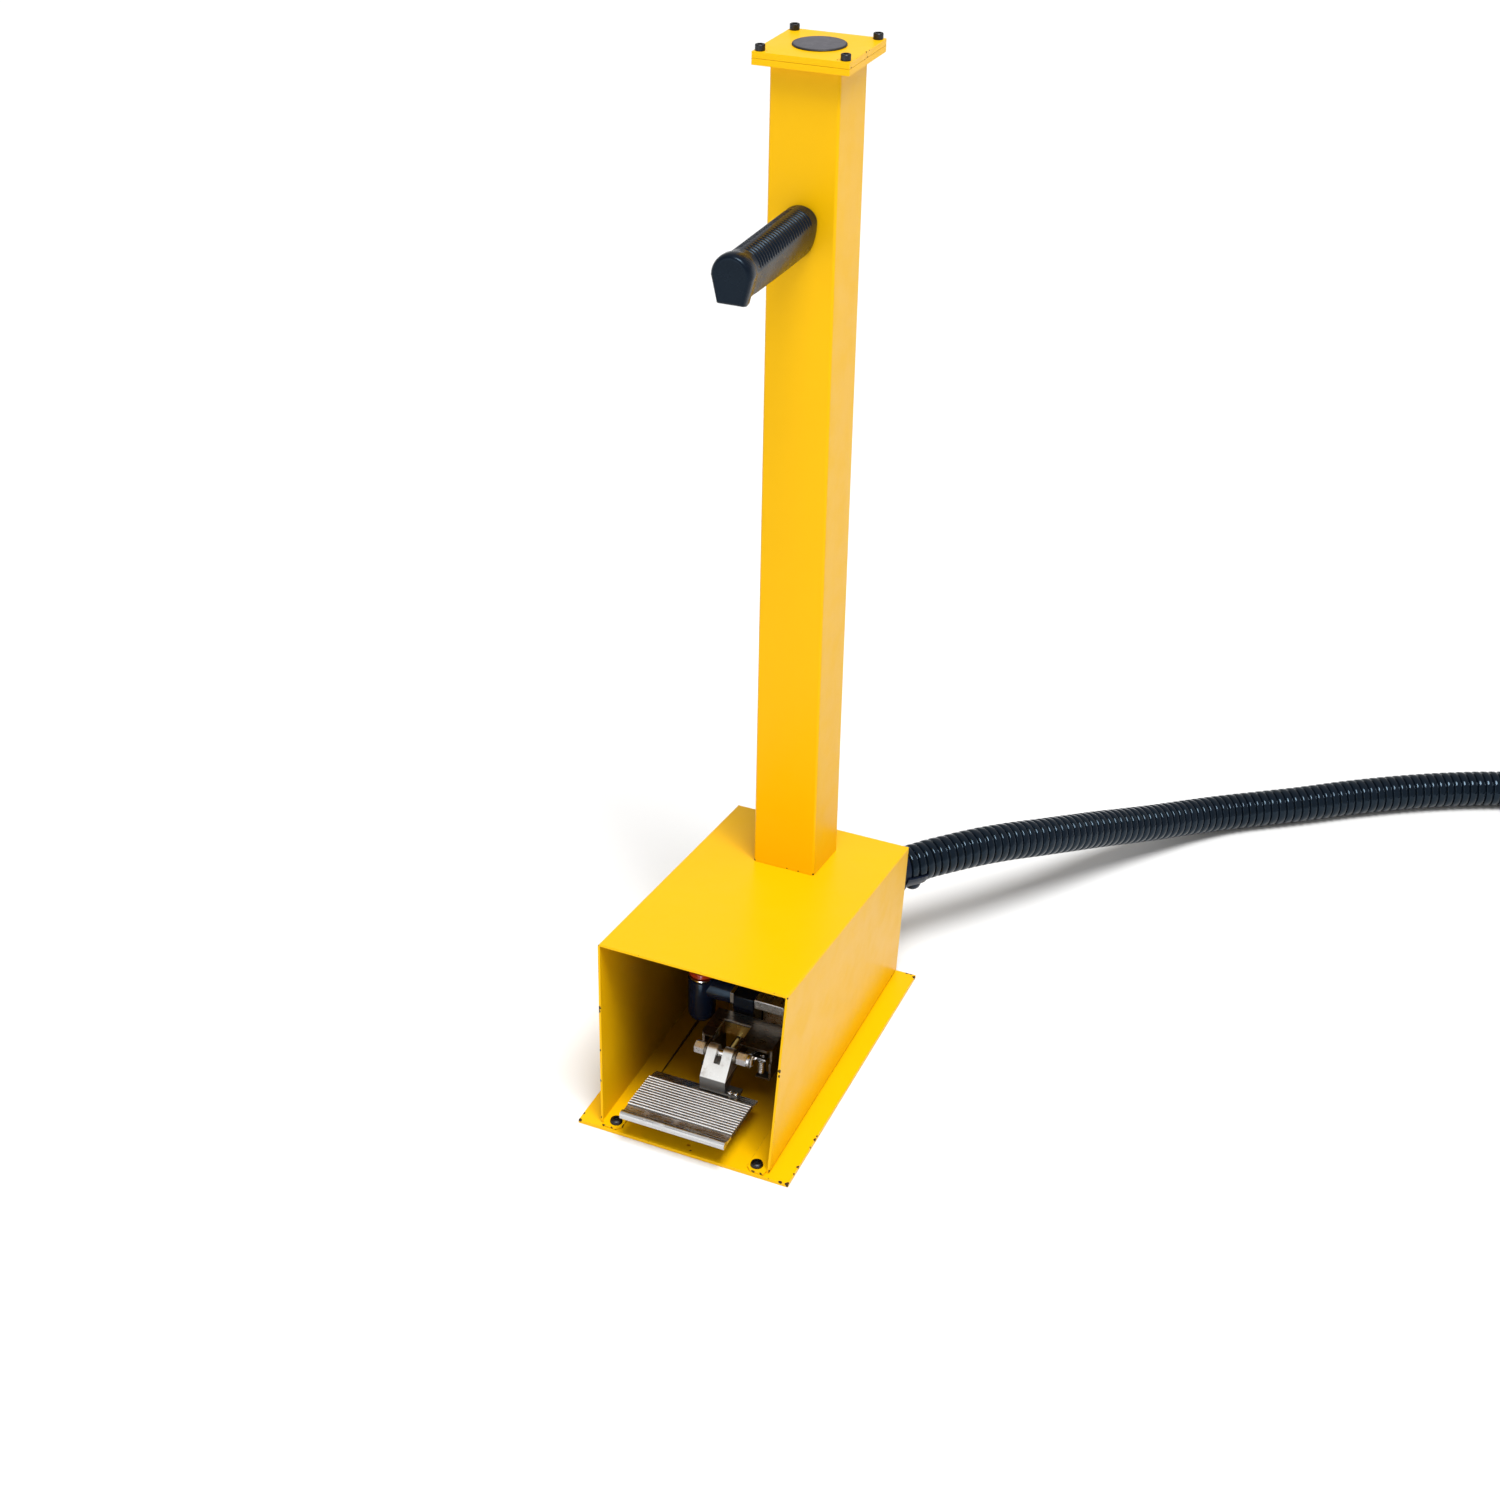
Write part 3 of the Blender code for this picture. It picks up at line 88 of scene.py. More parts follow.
GRIP_COLUMN_Y = 0.0812
GRIP_END_Y = -0.0925
GRIP_CENTRE_Z = 0.957
GRIP_SHAPED_TO_Y = -0.0895  # beyond this the section keeps its shape
GRIP_RIB_PITCH = 0.0055
GRIP_RIB_STEPS = 8
GRIP_RIB_FIRST_Y = 0.0690
GRIP_RIB_LAST_Y = -0.0630
GRIP_RIB_DEPTH = 0.0013
GRIP_AROUND = 96

SPRING_X = 0.0445
SPRING_Y = -0.0805
SPRING_LOW_Z = 0.044
SPRING_HIGH_Z = 0.060
SPRING_HOOK = 0.0065
SPRING_TURNS = 9
SPRING_STEPS = 20  # for each turn
SPRING_COIL = 0.0042
SPRING_WIRE = 0.0007

CONDUIT_X = 0.079
CONDUIT_Z = 0.121
PANEL_REAR_Y = 0.2046
ELBOW_GAP = 0.0003
ELBOW_RADIUS = 0.0205
ELBOW_SWELL = 0.0020  # how much wider the elbow is where the conduit starts
ELBOW_STRAIGHT = 0.005
ELBOW_REACH = 0.026
SADDLE_INSIDE = 0.0225
BOSS_PLACE = (0.0960, 0.2570, 0.0908)

# The hood's inner faces: how far its walls lean out and its roof falls, each for a metre
WALL_LEAN = 0.0407
WALL_FOOT_X = 0.0978
ROOF_FALL = 0.1144
ROOF_Z = 0.2070

# Between these the painted shade within the hood deepens from its open front
HOOD_SHADE_Y = (-0.185, -0.060)

# The hood's floor flanges: where the painted shadow of the slit under them widens and how wide it is, where
# it turns from ragged to whole, the front tabs and the top
FLANGE_Y = (-0.110, 0.060)
FLANGE_SLIT_SHADE_X = (0.0742, 0.0768)
FLANGE_RAGGED_Y = (-0.125, -0.085)
FLANGE_TABS_Y = -0.1920
FLANGE_TOP_Z = 0.0072

# The ends of the hood's front edges and the levels of the column's foot, where the paint has chipped
HOOD_TOP_HALF = 0.1083
HOOD_FOOT_HALF = 0.0992
HOOD_TOP_FRONT_Y = -0.1705
HOOD_FOOT_FRONT_Y = -0.1871
COLUMN_FOOT_FRONT_Z = 0.2000
COLUMN_FOOT_REAR_Z = 0.1915

# The tread's valleys, where shade is painted, as a height over a plane that slopes with it, and where its
# parts begin
TREAD_TOP_Z = 0.0292
TREAD_SLOPE = 0.0524
TREAD_UNSHADED_HEIGHT = 0.0015
TREAD_SHADED_HEIGHT = 0.0003
TREAD_RIBS_FRONT_Y = -0.1868
TREAD_RIBS_REAR_Y = -0.1285
TREAD_NOSE_Y = -0.1960

# The bracket's window, the painted highlights on its rear and left edges, and the flap behind it
WINDOW_X = (-0.0122, 0.0205)
WINDOW_Y = (-0.0790, -0.0526)
REAR_HIGHLIGHT_Y = (-0.0538, -0.0526)
LEFT_HIGHLIGHT_X = (-0.0122, -0.0108)
HIGHLIGHT_LOW_Z = 0.0768
FLAP_X = (-0.0110, 0.0210)
FLAP_Y = (-0.0540, -0.0508)
FLAP_Z = (0.0500, 0.0755)

ARM_FOOT_Z = 0.0520
PLUG_RIM = (0.0245, 0.0262)
# The flat dark grey in which shade is painted on metal
PAINTED_SHADE_GREY = (0.070, 0.068, 0.066)

# Degrees between two faces, under which they are one flat face and over which their edge is sharp
FLAT_ANGLE = 0.6
SHARP_ANGLE = 38
WELD_DISTANCE = 1e-5

CHIP_SIZE = 0.62
CHIP_SOFTNESS = 0.0002
CHIP_RAGGEDNESS = 0.0034


# ---------------------------------------------------------------- camera, floor and light


def camera():
    """Stands in front, to the right and above."""
    data = bpy.data.cameras.new("camera")
    data.sensor_width = 36
    data.lens = 56.18
    data.shift_x = 0.0533
    data.shift_y = -0.10
    data.clip_start = 0.05
    data.clip_end = 100
    obj = bpy.data.objects.new("camera", data)
    obj.location = (0.808, -1.9665, 1.693)
    obj.rotation_euler = (math.radians(62.33), 0, math.radians(24.86))
    bpy.context.scene.collection.objects.link(obj)
    bpy.context.scene.camera = obj


def area_light(name, place, target, size, power):
    data = bpy.data.lights.new(name, "AREA")
    data.shape = "RECTANGLE"
    data.size, data.size_y = size
    data.energy = power
    obj = bpy.data.objects.new(name, data)
    obj.location = place
    obj.rotation_euler = (Vector(target) - Vector(place)).to_track_quat("-Z", "Y").to_euler()
    bpy.context.scene.collection.objects.link(obj)


def sun(name, direction, strength, spread):
    """Even light from far away, with shadows as soft as a lamp of the given angular size makes."""
    data = bpy.data.lights.new(name, "SUN")
    data.energy = strength
    data.angle = math.radians(spread)
    obj = bpy.data.objects.new(name, data)
    obj.rotation_euler = Vector(direction).to_track_quat("-Z", "Y").to_euler()
    bpy.context.scene.collection.objects.link(obj)


def studio():
    """A pale floor under a white sky, with broad light from above and two panels that shine on the metal."""
    scene = bpy.context.scene
    scene.view_settings.view_transform = "Standard"
    scene.view_settings.look = "None"
    world = bpy.data.worlds.new("studio")
    world.use_nodes = True
    sky = world.node_tree.nodes["Background"]
    sky.inputs["Color"].default_value = (1, 1, 1, 1)
    direction = world.node_tree.nodes.new("ShaderNodeTexCoord")
    parts = world.node_tree.nodes.new("ShaderNodeSeparateXYZ")
    fade = world.node_tree.nodes.new("ShaderNodeMapRange")
    for index, number in enumerate((SKY_FADE_START, SKY_FADE_END, HORIZON_STRENGTH, SKY_STRENGTH), 1):
        fade.inputs[index].default_value = number
    world.node_tree.links.new(direction.outputs["Generated"], parts.inputs[0])
    world.node_tree.links.new(parts.outputs["Z"], fade.inputs[0])
    world.node_tree.links.new(fade.outputs[0], sky.inputs["Strength"])
    scene.world = world

    mesh = bpy.data.meshes.new("floor")
    shape = bmesh.new()
    bmesh.ops.create_circle(shape, cap_ends=True, segments=96, radius=FLOOR_RADIUS)
    shape.to_mesh(mesh)
    shape.free()
    floor = bpy.data.objects.new("floor", mesh)
    floor.location = (0, 0, -FLOOR_DROP)
    scene.collection.objects.link(floor)
    look = Look("floor", {"Roughness": 0.85, "Specular IOR Level": 0.2})
    tone = look.noise(1.6, 2)
    look.set("Base Color", look.mix(tone, (0.78, 0.78, 0.775), (0.76, 0.76, 0.76)))
    floor.data.materials.append(look.material)

    sun("overhead", direction=(-0.22, 0.30, -1.0), strength=3.05, spread=26)
    area_light("front", place=(-0.9, -3.2, 1.3), target=(0, 0, 0.1), size=(1.8, 2.2), power=14)
    area_light("strip", place=(0.9, -0.6, 2.6), target=(0.3, 0.5, 0.1), size=(0.10, 0.9), power=15)


# ---------------------------------------------------------------- materials


class Look:
    """A procedural material in the making: its nodes, its shader and the piece's own coordinates."""

    def __init__(self, name, sockets):
        self.material = bpy.data.materials.new(name)
        self.material.use_nodes = True
        self.nodes = self.material.node_tree.nodes
        self.links = self.material.node_tree.links
        self.shader = self.nodes["Principled BSDF"]
        self.place = self.nodes.new("ShaderNodeTexCoord").outputs["Object"]
        for socket, value in sockets.items():
            self.set(socket, value)

    def feed(self, socket, value):
        if isinstance(value, bpy.types.NodeSocket):
            self.links.new(value, socket)
        elif socket.type == "RGBA":
            socket.default_value = (*value, 1.0)[:4]
        else:
            socket.default_value = value

    def set(self, socket, value):
        self.feed(self.shader.inputs[socket], value)

    def math(self, operation, a, b=0.5):
        node = self.nodes.new("ShaderNodeMath")
        node.operation = operation
        self.feed(node.inputs[0], a)
        self.feed(node.inputs[1], b)
        return node.outputs[0]

    def vector(self, operation, a, b):
        node = self.nodes.new("ShaderNodeVectorMath")
        node.operation = operation
        self.feed(node.inputs[0], a)
        self.feed(node.inputs[1], b)
        return node.outputs["Value" if operation == "DISTANCE" else "Vector"]

    def axis(self, name):
        node = self.nodes.new("ShaderNodeSeparateXYZ")
        self.feed(node.inputs[0], self.place)
        return node.outputs[name]

    def noise(self, scale, detail=2.0, stretch=None, colour=False, roughness=0.55):
        """Noise over the piece. Stretch squeezes it along each axis, for brushed or drawn surfaces."""
        node = self.nodes.new("ShaderNodeTexNoise")
        node.inputs["Scale"].default_value = scale
        node.inputs["Detail"].default_value = detail
        node.inputs["Roughness"].default_value = roughness
        place = self.place if stretch is None else self.vector("MULTIPLY", self.place, stretch)
        self.feed(node.inputs["Vector"], place)
        return node.outputs["Color" if colour else "Fac"]

    def cells(self, scale):
        node = self.nodes.new("ShaderNodeTexVoronoi")
        node.inputs["Scale"].default_value = scale
        self.feed(node.inputs["Vector"], self.place)
        return node.outputs["Distance"]

    def span(self, value, low, high, out_low=0.0, out_high=1.0):
        """A smooth step of a value from one limit to the other. Sockets 0 to 4 take them in this order."""
        node = self.nodes.new("ShaderNodeMapRange")
        node.interpolation_type = "SMOOTHSTEP"
        for index, number in enumerate((value, low, high, out_low, out_high)):
            self.feed(node.inputs[index], number)
        return node.outputs[0]

    def mix(self, factor, a, b):
        """A mix of two colours. The node has sockets for each kind of data: 6, 7 and 2 are the colours."""
        node = self.nodes.new("ShaderNodeMix")
        node.data_type = "RGBA"
        self.feed(node.inputs[0], factor)
        self.feed(node.inputs[6], a)
        self.feed(node.inputs[7], b)
        return node.outputs[2]

    def bump(self, height, distance, strength=1.0, under=None):
        node = self.nodes.new("ShaderNodeBump")
        node.inputs["Strength"].default_value = strength
        node.inputs["Distance"].default_value = distance
        self.feed(node.inputs["Height"], height)
        if under is not None:
            self.feed(node.inputs["Normal"], under)
        return node.outputs[0]

    def chips(self, spots):
        """A mask of ragged chips round the given places, each (x, y, z, radius)."""
        ragged = self.vector("SUBTRACT", self.noise(420, 4, colour=True), (0.5, 0.5, 0.5))
        place = self.vector("ADD", self.place, self.vector("MULTIPLY", ragged, (CHIP_RAGGEDNESS,) * 3))
        nearest = None
        for x, y, z, radius in spots:
            edge = self.math("SUBTRACT", self.vector("DISTANCE", place, (x, y, z)), radius * CHIP_SIZE)
            nearest = edge if nearest is None else self.math("MINIMUM", nearest, edge)
        return self.span(nearest, CHIP_SOFTNESS, -CHIP_SOFTNESS)


def hood_inside_shade(look):
    """A mask of the faces within the hood, where shade is painted into the paint, fading at its open front.
    """
    side = look.math("ABSOLUTE", look.axis("X"))
    wall = look.math("MULTIPLY", look.axis("Z"), WALL_LEAN)
    beside = look.math("LESS_THAN", look.math("SUBTRACT", side, wall), WALL_FOOT_X)
    roof = look.math("ADD", look.axis("Z"), look.math("MULTIPLY", look.axis("Y"), ROOF_FALL))
    under = look.math("LESS_THAN", roof, ROOF_Z)
    deep = look.span(look.axis("Y"), *HOOD_SHADE_Y)
    return look.math("MULTIPLY", look.math("MULTIPLY", beside, under), deep)


def yellow_paint(name, spots=(), bare_and_slit_shade=None, shade_inside=False):
    """Glossy powder coat: orange peel, faint rubbing, dust in the grain, chips down to dark metal, and where
    asked painted shade within the hood and a painted slit shadow in the chips' dark tone.
    """
    look = Look(name, {"IOR": 1.30, "Specular Tint": (1.0, 0.86, 0.45)})
    drift = look.noise(7, 3)
    tint = look.mix(drift, (0.770, 0.418, 0.0004), (0.800, 0.442, 0.0007))
    rubbed = look.span(look.noise(5, 4, (1, 1, 7), roughness=0.7), 0.60, 0.80)
    tint = look.mix(look.math("MULTIPLY", rubbed, 0.05), tint, (1.0, 0.66, 0.03))
    specks = look.span(look.cells(420), 0.06, 0.03)
    sparse = look.span(look.noise(30, 1), 0.66, 0.76)
    specks = look.math("MULTIPLY", specks, sparse)
    tint = look.mix(look.math("MULTIPLY", specks, 0.30), tint, (0.40, 0.20, 0.004))
    roughness = look.span(look.noise(28, 4), 0.3, 0.75, 0.30, 0.42)
    peel = look.bump(look.noise(240, 2), 0.0003, 0.10)
    peel = look.bump(look.noise(1400, 2), 0.00006, 0.15, peel)
    if shade_inside:
        # painted shade: faces within the hood turn deep brown, as if less light reached them
        tint = look.mix(hood_inside_shade(look), tint, (0.310, 0.156, 0.0013))
    chips_and_slit_shade = look.chips(spots) if spots else None
    if bare_and_slit_shade is not None:
        slit_shade_and_cut = bare_and_slit_shade(look)
        chips_and_slit_shade = slit_shade_and_cut if chips_and_slit_shade is None else look.math("MAXIMUM", chips_and_slit_shade, slit_shade_and_cut)
    if chips_and_slit_shade is not None:
        # dark bare metal in the chips, also used as the painted shadow of the flange slit
        rust_and_slit_shade = look.mix(look.noise(900, 3), (0.012, 0.008, 0.005), (0.075, 0.035, 0.012))
        tint = look.mix(chips_and_slit_shade, tint, rust_and_slit_shade)
        roughness = look.math("ADD", roughness, look.math("MULTIPLY", chips_and_slit_shade, 0.3))
        peel = look.bump(look.math("SUBTRACT", 1.0, chips_and_slit_shade), 0.0003, 0.8, peel)
    look.set("Base Color", tint)
    look.set("Roughness", roughness)
    look.set("Normal", peel)
    return look.material


def plastic(name, dark, light, roughness, gloss, grain=(900, 0.25), scuffs=0.25):
    """Moulded plastic: two close tones, a fine grain, and dull scuffs that catch the light.

    The grain is (scale, bump strength), and gloss is the shader's specular level.
    """
    look = Look(name, {"Specular IOR Level": gloss, "Specular Tint": (0.55, 0.78, 1.0), "IOR": 1.5})
    tint = look.mix(look.noise(35, 4), dark, light)
    scuffed = look.span(look.noise(60, 5, (1, 1.6, 1), roughness=0.75), 0.58, 0.72)
    pale = tuple(min(1.0, c * 2.0 + 0.004) for c in light)
    tint = look.mix(look.math("MULTIPLY", scuffed, scuffs * 0.5), tint, pale)
    rough = look.span(look.noise(48, 4), 0.3, 0.75, roughness * 0.85, roughness * 1.15)
    rough = look.math("ADD", rough, look.math("MULTIPLY", scuffed, scuffs * 0.35))
    look.set("Base Color", tint)
    look.set("Roughness", rough)
    under = look.bump(look.noise(110, 2), 0.0005, 0.10)
    look.set("Normal", look.bump(look.noise(grain[0], 2), 0.00012, grain[1], under))
    return look.material


def metal(
    name, dark, light, roughness, stretch=None, grain=(420, 0.0001, 0.3), stains=0.0, shaded=None, tones_and_highlights=None
):
    """Bare or plated metal: drawn or cast grain, tone that drifts, and dull handling marks.

    The grain is (scale, bump distance, bump strength). The shade argument gives a mask where shade is painted
    in a flat dark grey, and the tone argument a new tint, which may hold painted highlights.
    """
    look = Look(name, {"Metallic": 1.0})
    streaks = look.noise(grain[0], 3, stretch)
    tint = look.mix(streaks, dark, light)
    marks = look.span(look.noise(70, 5, roughness=0.7), 0.52, 0.72)
    if stains:
        brown = tuple(c * s for c, s in zip(dark, (0.40, 0.30, 0.20)))
        tint = look.mix(look.math("MULTIPLY", marks, stains), tint, brown)
    rough = look.span(streaks, 0.25, 0.75, roughness * 0.75, roughness * 1.25)
    rough = look.math("ADD", rough, look.math("MULTIPLY", marks, 0.10 + 0.1 * stains))
    if tones_and_highlights is not None:
        tint = tones_and_highlights(look, tint)
    # painted shade: the masked faces turn flat dark grey
    if shaded is not None:
        shade_mask = shaded(look)
        tint = look.mix(shade_mask, tint, PAINTED_SHADE_GREY)
        rough = look.math("MAXIMUM", rough, look.math("MULTIPLY", shade_mask, 0.5))
    look.set("Base Color", tint)
    look.set("Roughness", rough)
    under = look.bump(look.noise(140, 3), 0.0004, 0.08)
    look.set("Normal", look.bump(streaks, grain[1], grain[2], under))
    return look.material


def within(look, name, low, high):
    """A mask of the places where a coordinate lies between two limits."""
    place = look.axis(name)
    return look.math("MULTIPLY", look.math("GREATER_THAN", place, low), look.math("LESS_THAN", place, high))


def bracket_tones_and_highlights(look, tint):
    """The bracket's tint, with painted highlights on the cut edges round its window and a golden passivated
    flap behind it.
    """
    above = look.math("GREATER_THAN", look.axis("Z"), HIGHLIGHT_LOW_Z)
    rear = look.math("MULTIPLY", within(look, "X", *WINDOW_X), within(look, "Y", *REAR_HIGHLIGHT_Y))
    left = look.math("MULTIPLY", within(look, "X", *LEFT_HIGHLIGHT_X), within(look, "Y", *WINDOW_Y))
    edge = look.math("MULTIPLY", above, look.math("MAXIMUM", rear, left))
    flap = look.math("MULTIPLY", within(look, "Y", *FLAP_Y), within(look, "Z", *FLAP_Z))
    flap = look.math("MULTIPLY", flap, within(look, "X", *FLAP_X))
    golden = look.mix(look.noise(90, 3), (0.42, 0.29, 0.075), (0.62, 0.47, 0.16))
    # painted highlight: near-white bands on the window's rear and left cut edges
    return look.mix(edge, look.mix(flap, tint, golden), (0.86, 0.86, 0.84))


def arm_foot_shade(look):
    """A mask of painted shade on the arm's lower facet and its foot flange."""
    low = look.span(look.axis("Z"), ARM_FOOT_Z, ARM_FOOT_Z - 0.0010)
    return look.math("MULTIPLY", low, 0.90)


def tread_shade(look):
    """A mask of painted shade in the valleys between the tread's ribs, and a weaker painted darkening of the
    reflection on its nose.
    """
    height = look.math("ADD", look.axis("Z"), look.math("MULTIPLY", look.axis("Y"), TREAD_SLOPE))
    low = look.span(height, TREAD_TOP_Z + TREAD_UNSHADED_HEIGHT, TREAD_TOP_Z + TREAD_SHADED_HEIGHT)
    ribbed = look.span(look.axis("Y"), TREAD_RIBS_FRONT_Y, TREAD_RIBS_FRONT_Y + 0.0010)
    before_lip = look.span(look.axis("Y"), TREAD_RIBS_REAR_Y, TREAD_RIBS_REAR_Y - 0.0010)
    valleys = look.math("MULTIPLY", low, look.math("MULTIPLY", ribbed, before_lip))
    # painted darkening of the bright reflection on the tread's nose
    nose = look.span(look.axis("Y"), TREAD_NOSE_Y, TREAD_NOSE_Y - 0.0015, 0.0, 0.45)
    return look.math("MAXIMUM", look.math("MULTIPLY", valleys, 0.92), nose)


def plug_rubber():
    """Satin grey cap with a darker rim and dust on it."""
    look = Look("grey_plug", {"IOR": 1.5})
    low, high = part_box("hole_plug")
    centre = (low + high) / 2
    out = look.vector("DISTANCE", look.vector("MULTIPLY", look.place, (1, 1, 0)), (centre.x, centre.y, 0))
    rim = look.span(out, *PLUG_RIM)
    tint = look.mix(look.noise(60, 4), (0.062, 0.060, 0.070), (0.088, 0.085, 0.098))
    dust = look.span(look.noise(900, 2), 0.62, 0.74)
    tint = look.mix(look.math("MULTIPLY", dust, 0.35), tint, (0.22, 0.21, 0.20))
    look.set("Base Color", look.mix(rim, tint, (0.012, 0.012, 0.013)))
    look.set("Roughness", look.span(look.noise(130, 3), 0.3, 0.7, 0.42, 0.56))
    look.set("Normal", look.bump(look.noise(1500, 2), 0.0001, 0.3))
    return look.material


def flange_slit_shade_and_cut(look):
    """A mask of painted shadow along the inside of the hood's floor flanges, where a slit under them widens
    towards the back, and of bare cut edges on the front tabs.
    """
    side = look.math("ABSOLUTE", look.axis("X"))
    back = look.axis("Y")
    inner_limit = look.span(back, *FLANGE_Y, *FLANGE_SLIT_SHADE_X)
    near = look.math("LESS_THAN", side, inner_limit)
    ragged = look.span(look.noise(120, 3, (0, 1, 0)), 0.60, 0.44)
    # painted shadow of the slit under the flange's inner edge, ragged in front and solid towards the back
    inner = look.math("MULTIPLY", near, look.math("MAXIMUM", look.span(back, *FLANGE_RAGGED_Y), ragged))
    torn = look.span(look.noise(210, 3, (1, 0, 1)), 0.50, 0.42)
    front = look.math("MULTIPLY", look.math("LESS_THAN", back, FLANGE_TABS_Y), torn)
    low = look.math("LESS_THAN", look.axis("Z"), FLANGE_TOP_Z)
    return look.math("MULTIPLY", low, look.math("MAXIMUM", inner, front))


# ---------------------------------------------------------------- meshes


def new_piece(name, points, faces, material):
    mesh = bpy.data.meshes.new(name)
    mesh.from_pydata([tuple(p) for p in points], [], faces)
    mesh.validate()
    shape = bmesh.new()
    shape.from_mesh(mesh)
    bmesh.ops.recalc_face_normals(shape, faces=shape.faces)
    shape.to_mesh(mesh)
    shape.free()
    mesh.shade_smooth()
    mesh.materials.append(material)
    obj = bpy.data.objects.new(name, mesh)
    bpy.context.scene.collection.objects.link(obj)
    return obj


def ring_faces(rings, around):
    """Quads between rings of points, with the two ends closed."""
    faces = []
    for ring in range(rings - 1):
        for i in range(around):
            j = (i + 1) % around
            a, b = ring * around, (ring + 1) * around
            faces.append((a + i, a + j, b + j, b + i))
    faces.append(tuple(reversed(range(around))))
    faces.append(tuple(range((rings - 1) * around, rings * around)))
    return faces


def eased(share):
    """A smooth step of a share that is first held between 0 and 1."""
    share = min(max(share, 0), 1)
    return share * share * (3 - 2 * share)


def distances(line):
    """How far along a line each of its points is."""
    return np.concatenate(([0], np.cumsum(np.linalg.norm(np.diff(line, axis=0), axis=1))))


def value_at(along, run, values):
    """A line's point, or a vector carried along it, at one distance. Run holds its points' distances."""
    return np.array([np.interp(along, run, values[:, i]) for i in range(3)])


def smooth_line(route, step):
    """Points about step apart on a smooth curve through the route."""
    corners = np.array(route, float)
    padded = np.vstack((2 * corners[0] - corners[1], corners, 2 * corners[-1] - corners[-2]))
    dense = []
    for a, b, c, d in zip(padded, padded[1:], padded[2:], padded[3:]):
        for t in np.linspace(0, 1, ROUTE_STEPS, endpoint=False):
            square, cube = t * t, t * t * t
            first = 2 * b + (c - a) * t
            second = (2 * a - 5 * b + 4 * c - d) * square
            dense.append(0.5 * (first + second + (3 * b - a - 3 * c + d) * cube))
    dense.append(corners[-1])
    dense = np.array(dense)
    run = distances(dense)
    wanted = np.linspace(0, run[-1], max(2, round(run[-1] / step)) + 1)
    return np.column_stack([np.interp(wanted, run, dense[:, i]) for i in range(3)]), run[-1]


def carried_frames(line, first_side):
    """At each point of a line: its heading and two sides square to it, carried along without twist."""
    heading = np.gradient(line, axis=0)
    heading /= np.linalg.norm(heading, axis=1)[:, None]
    side = np.array(first_side, float)
    sides = []
    for ahead in heading:
        side = side - ahead * side.dot(ahead)
        side /= np.linalg.norm(side)
        sides.append(side.copy())
    sides = np.array(sides)
    return heading, sides, np.cross(heading, sides)


def swept(name, line, stations, around, material, side=(0, 0, 1)):
    """A round tube along a line. Each station is (distance along the line, radius)."""
    run = distances(line)
    _, sides, others = carried_frames(line, side)
    angles = np.linspace(0, math.tau, around, endpoint=False)
    points = []
    for along, radius in stations:
        at, u, v = (value_at(along, run, values) for values in (line, sides, others))
        for angle in angles:
            points.append(at + radius * (math.cos(angle) * u + math.sin(angle) * v))
    return new_piece(name, points, ring_faces(len(stations), around), material)


def turned_about(name, start, heading, profile, around, material, lobes=0, lobe_depth=0.0, lobe_span=None):
    """A turned shape. The profile is (distance, radius); lobes cut grips round part of its length."""
    ahead = Vector(heading).normalized()
    u = ahead.orthogonal().normalized()
    v = ahead.cross(u)
    points = []
    for along, radius in profile:
        for i in range(around):
            angle = math.tau * i / around
            r = radius
            if lobes and lobe_span[0] <= along <= lobe_span[1]:
                r -= lobe_depth * (0.5 + 0.5 * math.cos(lobes * angle)) ** 3
            points.append(Vector(start) + ahead * along + (u * math.cos(angle) + v * math.sin(angle)) * r)
    obj = new_piece(name, points, ring_faces(len(profile), around), material)
    obj.data.set_sharp_from_angle(angle=math.radians(42))
    return obj


def joined(first, *others):
    """A Boolean union of closed pieces, as one clean mesh under the first one's name."""
    for other in others:
        modifier = first.modifiers.new("union", "BOOLEAN")
        modifier.operation = "UNION"
        modifier.solver = "EXACT"
        modifier.object = other
    bpy.context.view_layer.update()
    mesh = bpy.data.meshes.new_from_object(first.evaluated_get(bpy.context.evaluated_depsgraph_get()))
    first.modifiers.clear()
    first.data = mesh
    for other in others:
        bpy.data.objects.remove(other)
    mesh.shade_smooth()
    mesh.set_sharp_from_angle(angle=math.radians(40))
    return first


def shading_group():
    """Geometry nodes that smooth a piece's shading except over its real edges."""
    group = bpy.data.node_groups.new("smooth_by_angle", "GeometryNodeTree")
    group.is_modifier = True
    group.interface.new_socket("Geometry", in_out="INPUT", socket_type="NodeSocketGeometry")
    group.interface.new_socket("Geometry", in_out="OUTPUT", socket_type="NodeSocketGeometry")
    start = group.nodes.new("NodeGroupInput")
    end = group.nodes.new("NodeGroupOutput")
    strip = group.nodes.new("GeometryNodeRemoveAttribute")
    strip.inputs["Name"].default_value = "custom_normal"
    faces = group.nodes.new("GeometryNodeSetShadeSmooth")
    edges = group.nodes.new("GeometryNodeSetShadeSmooth")
    edges.domain = "EDGE"
    edges.inputs["Shade Smooth"].default_value = False
    angle = group.nodes.new("GeometryNodeInputMeshEdgeAngle")
    over = group.nodes.new("FunctionNodeCompare")
    over.data_type = "FLOAT"
    over.operation = "GREATER_THAN"
    over.inputs[1].default_value = math.radians(SHARP_ANGLE)
    group.links.new(start.outputs[0], strip.inputs["Geometry"])
    group.links.new(strip.outputs[0], faces.inputs["Geometry"])
    group.links.new(faces.outputs[0], edges.inputs["Geometry"])
    group.links.new(angle.outputs["Unsigned Angle"], over.inputs[0])
    group.links.new(over.outputs[0], edges.inputs["Selection"])
    group.links.new(edges.outputs[0], end.inputs[0])
    return group


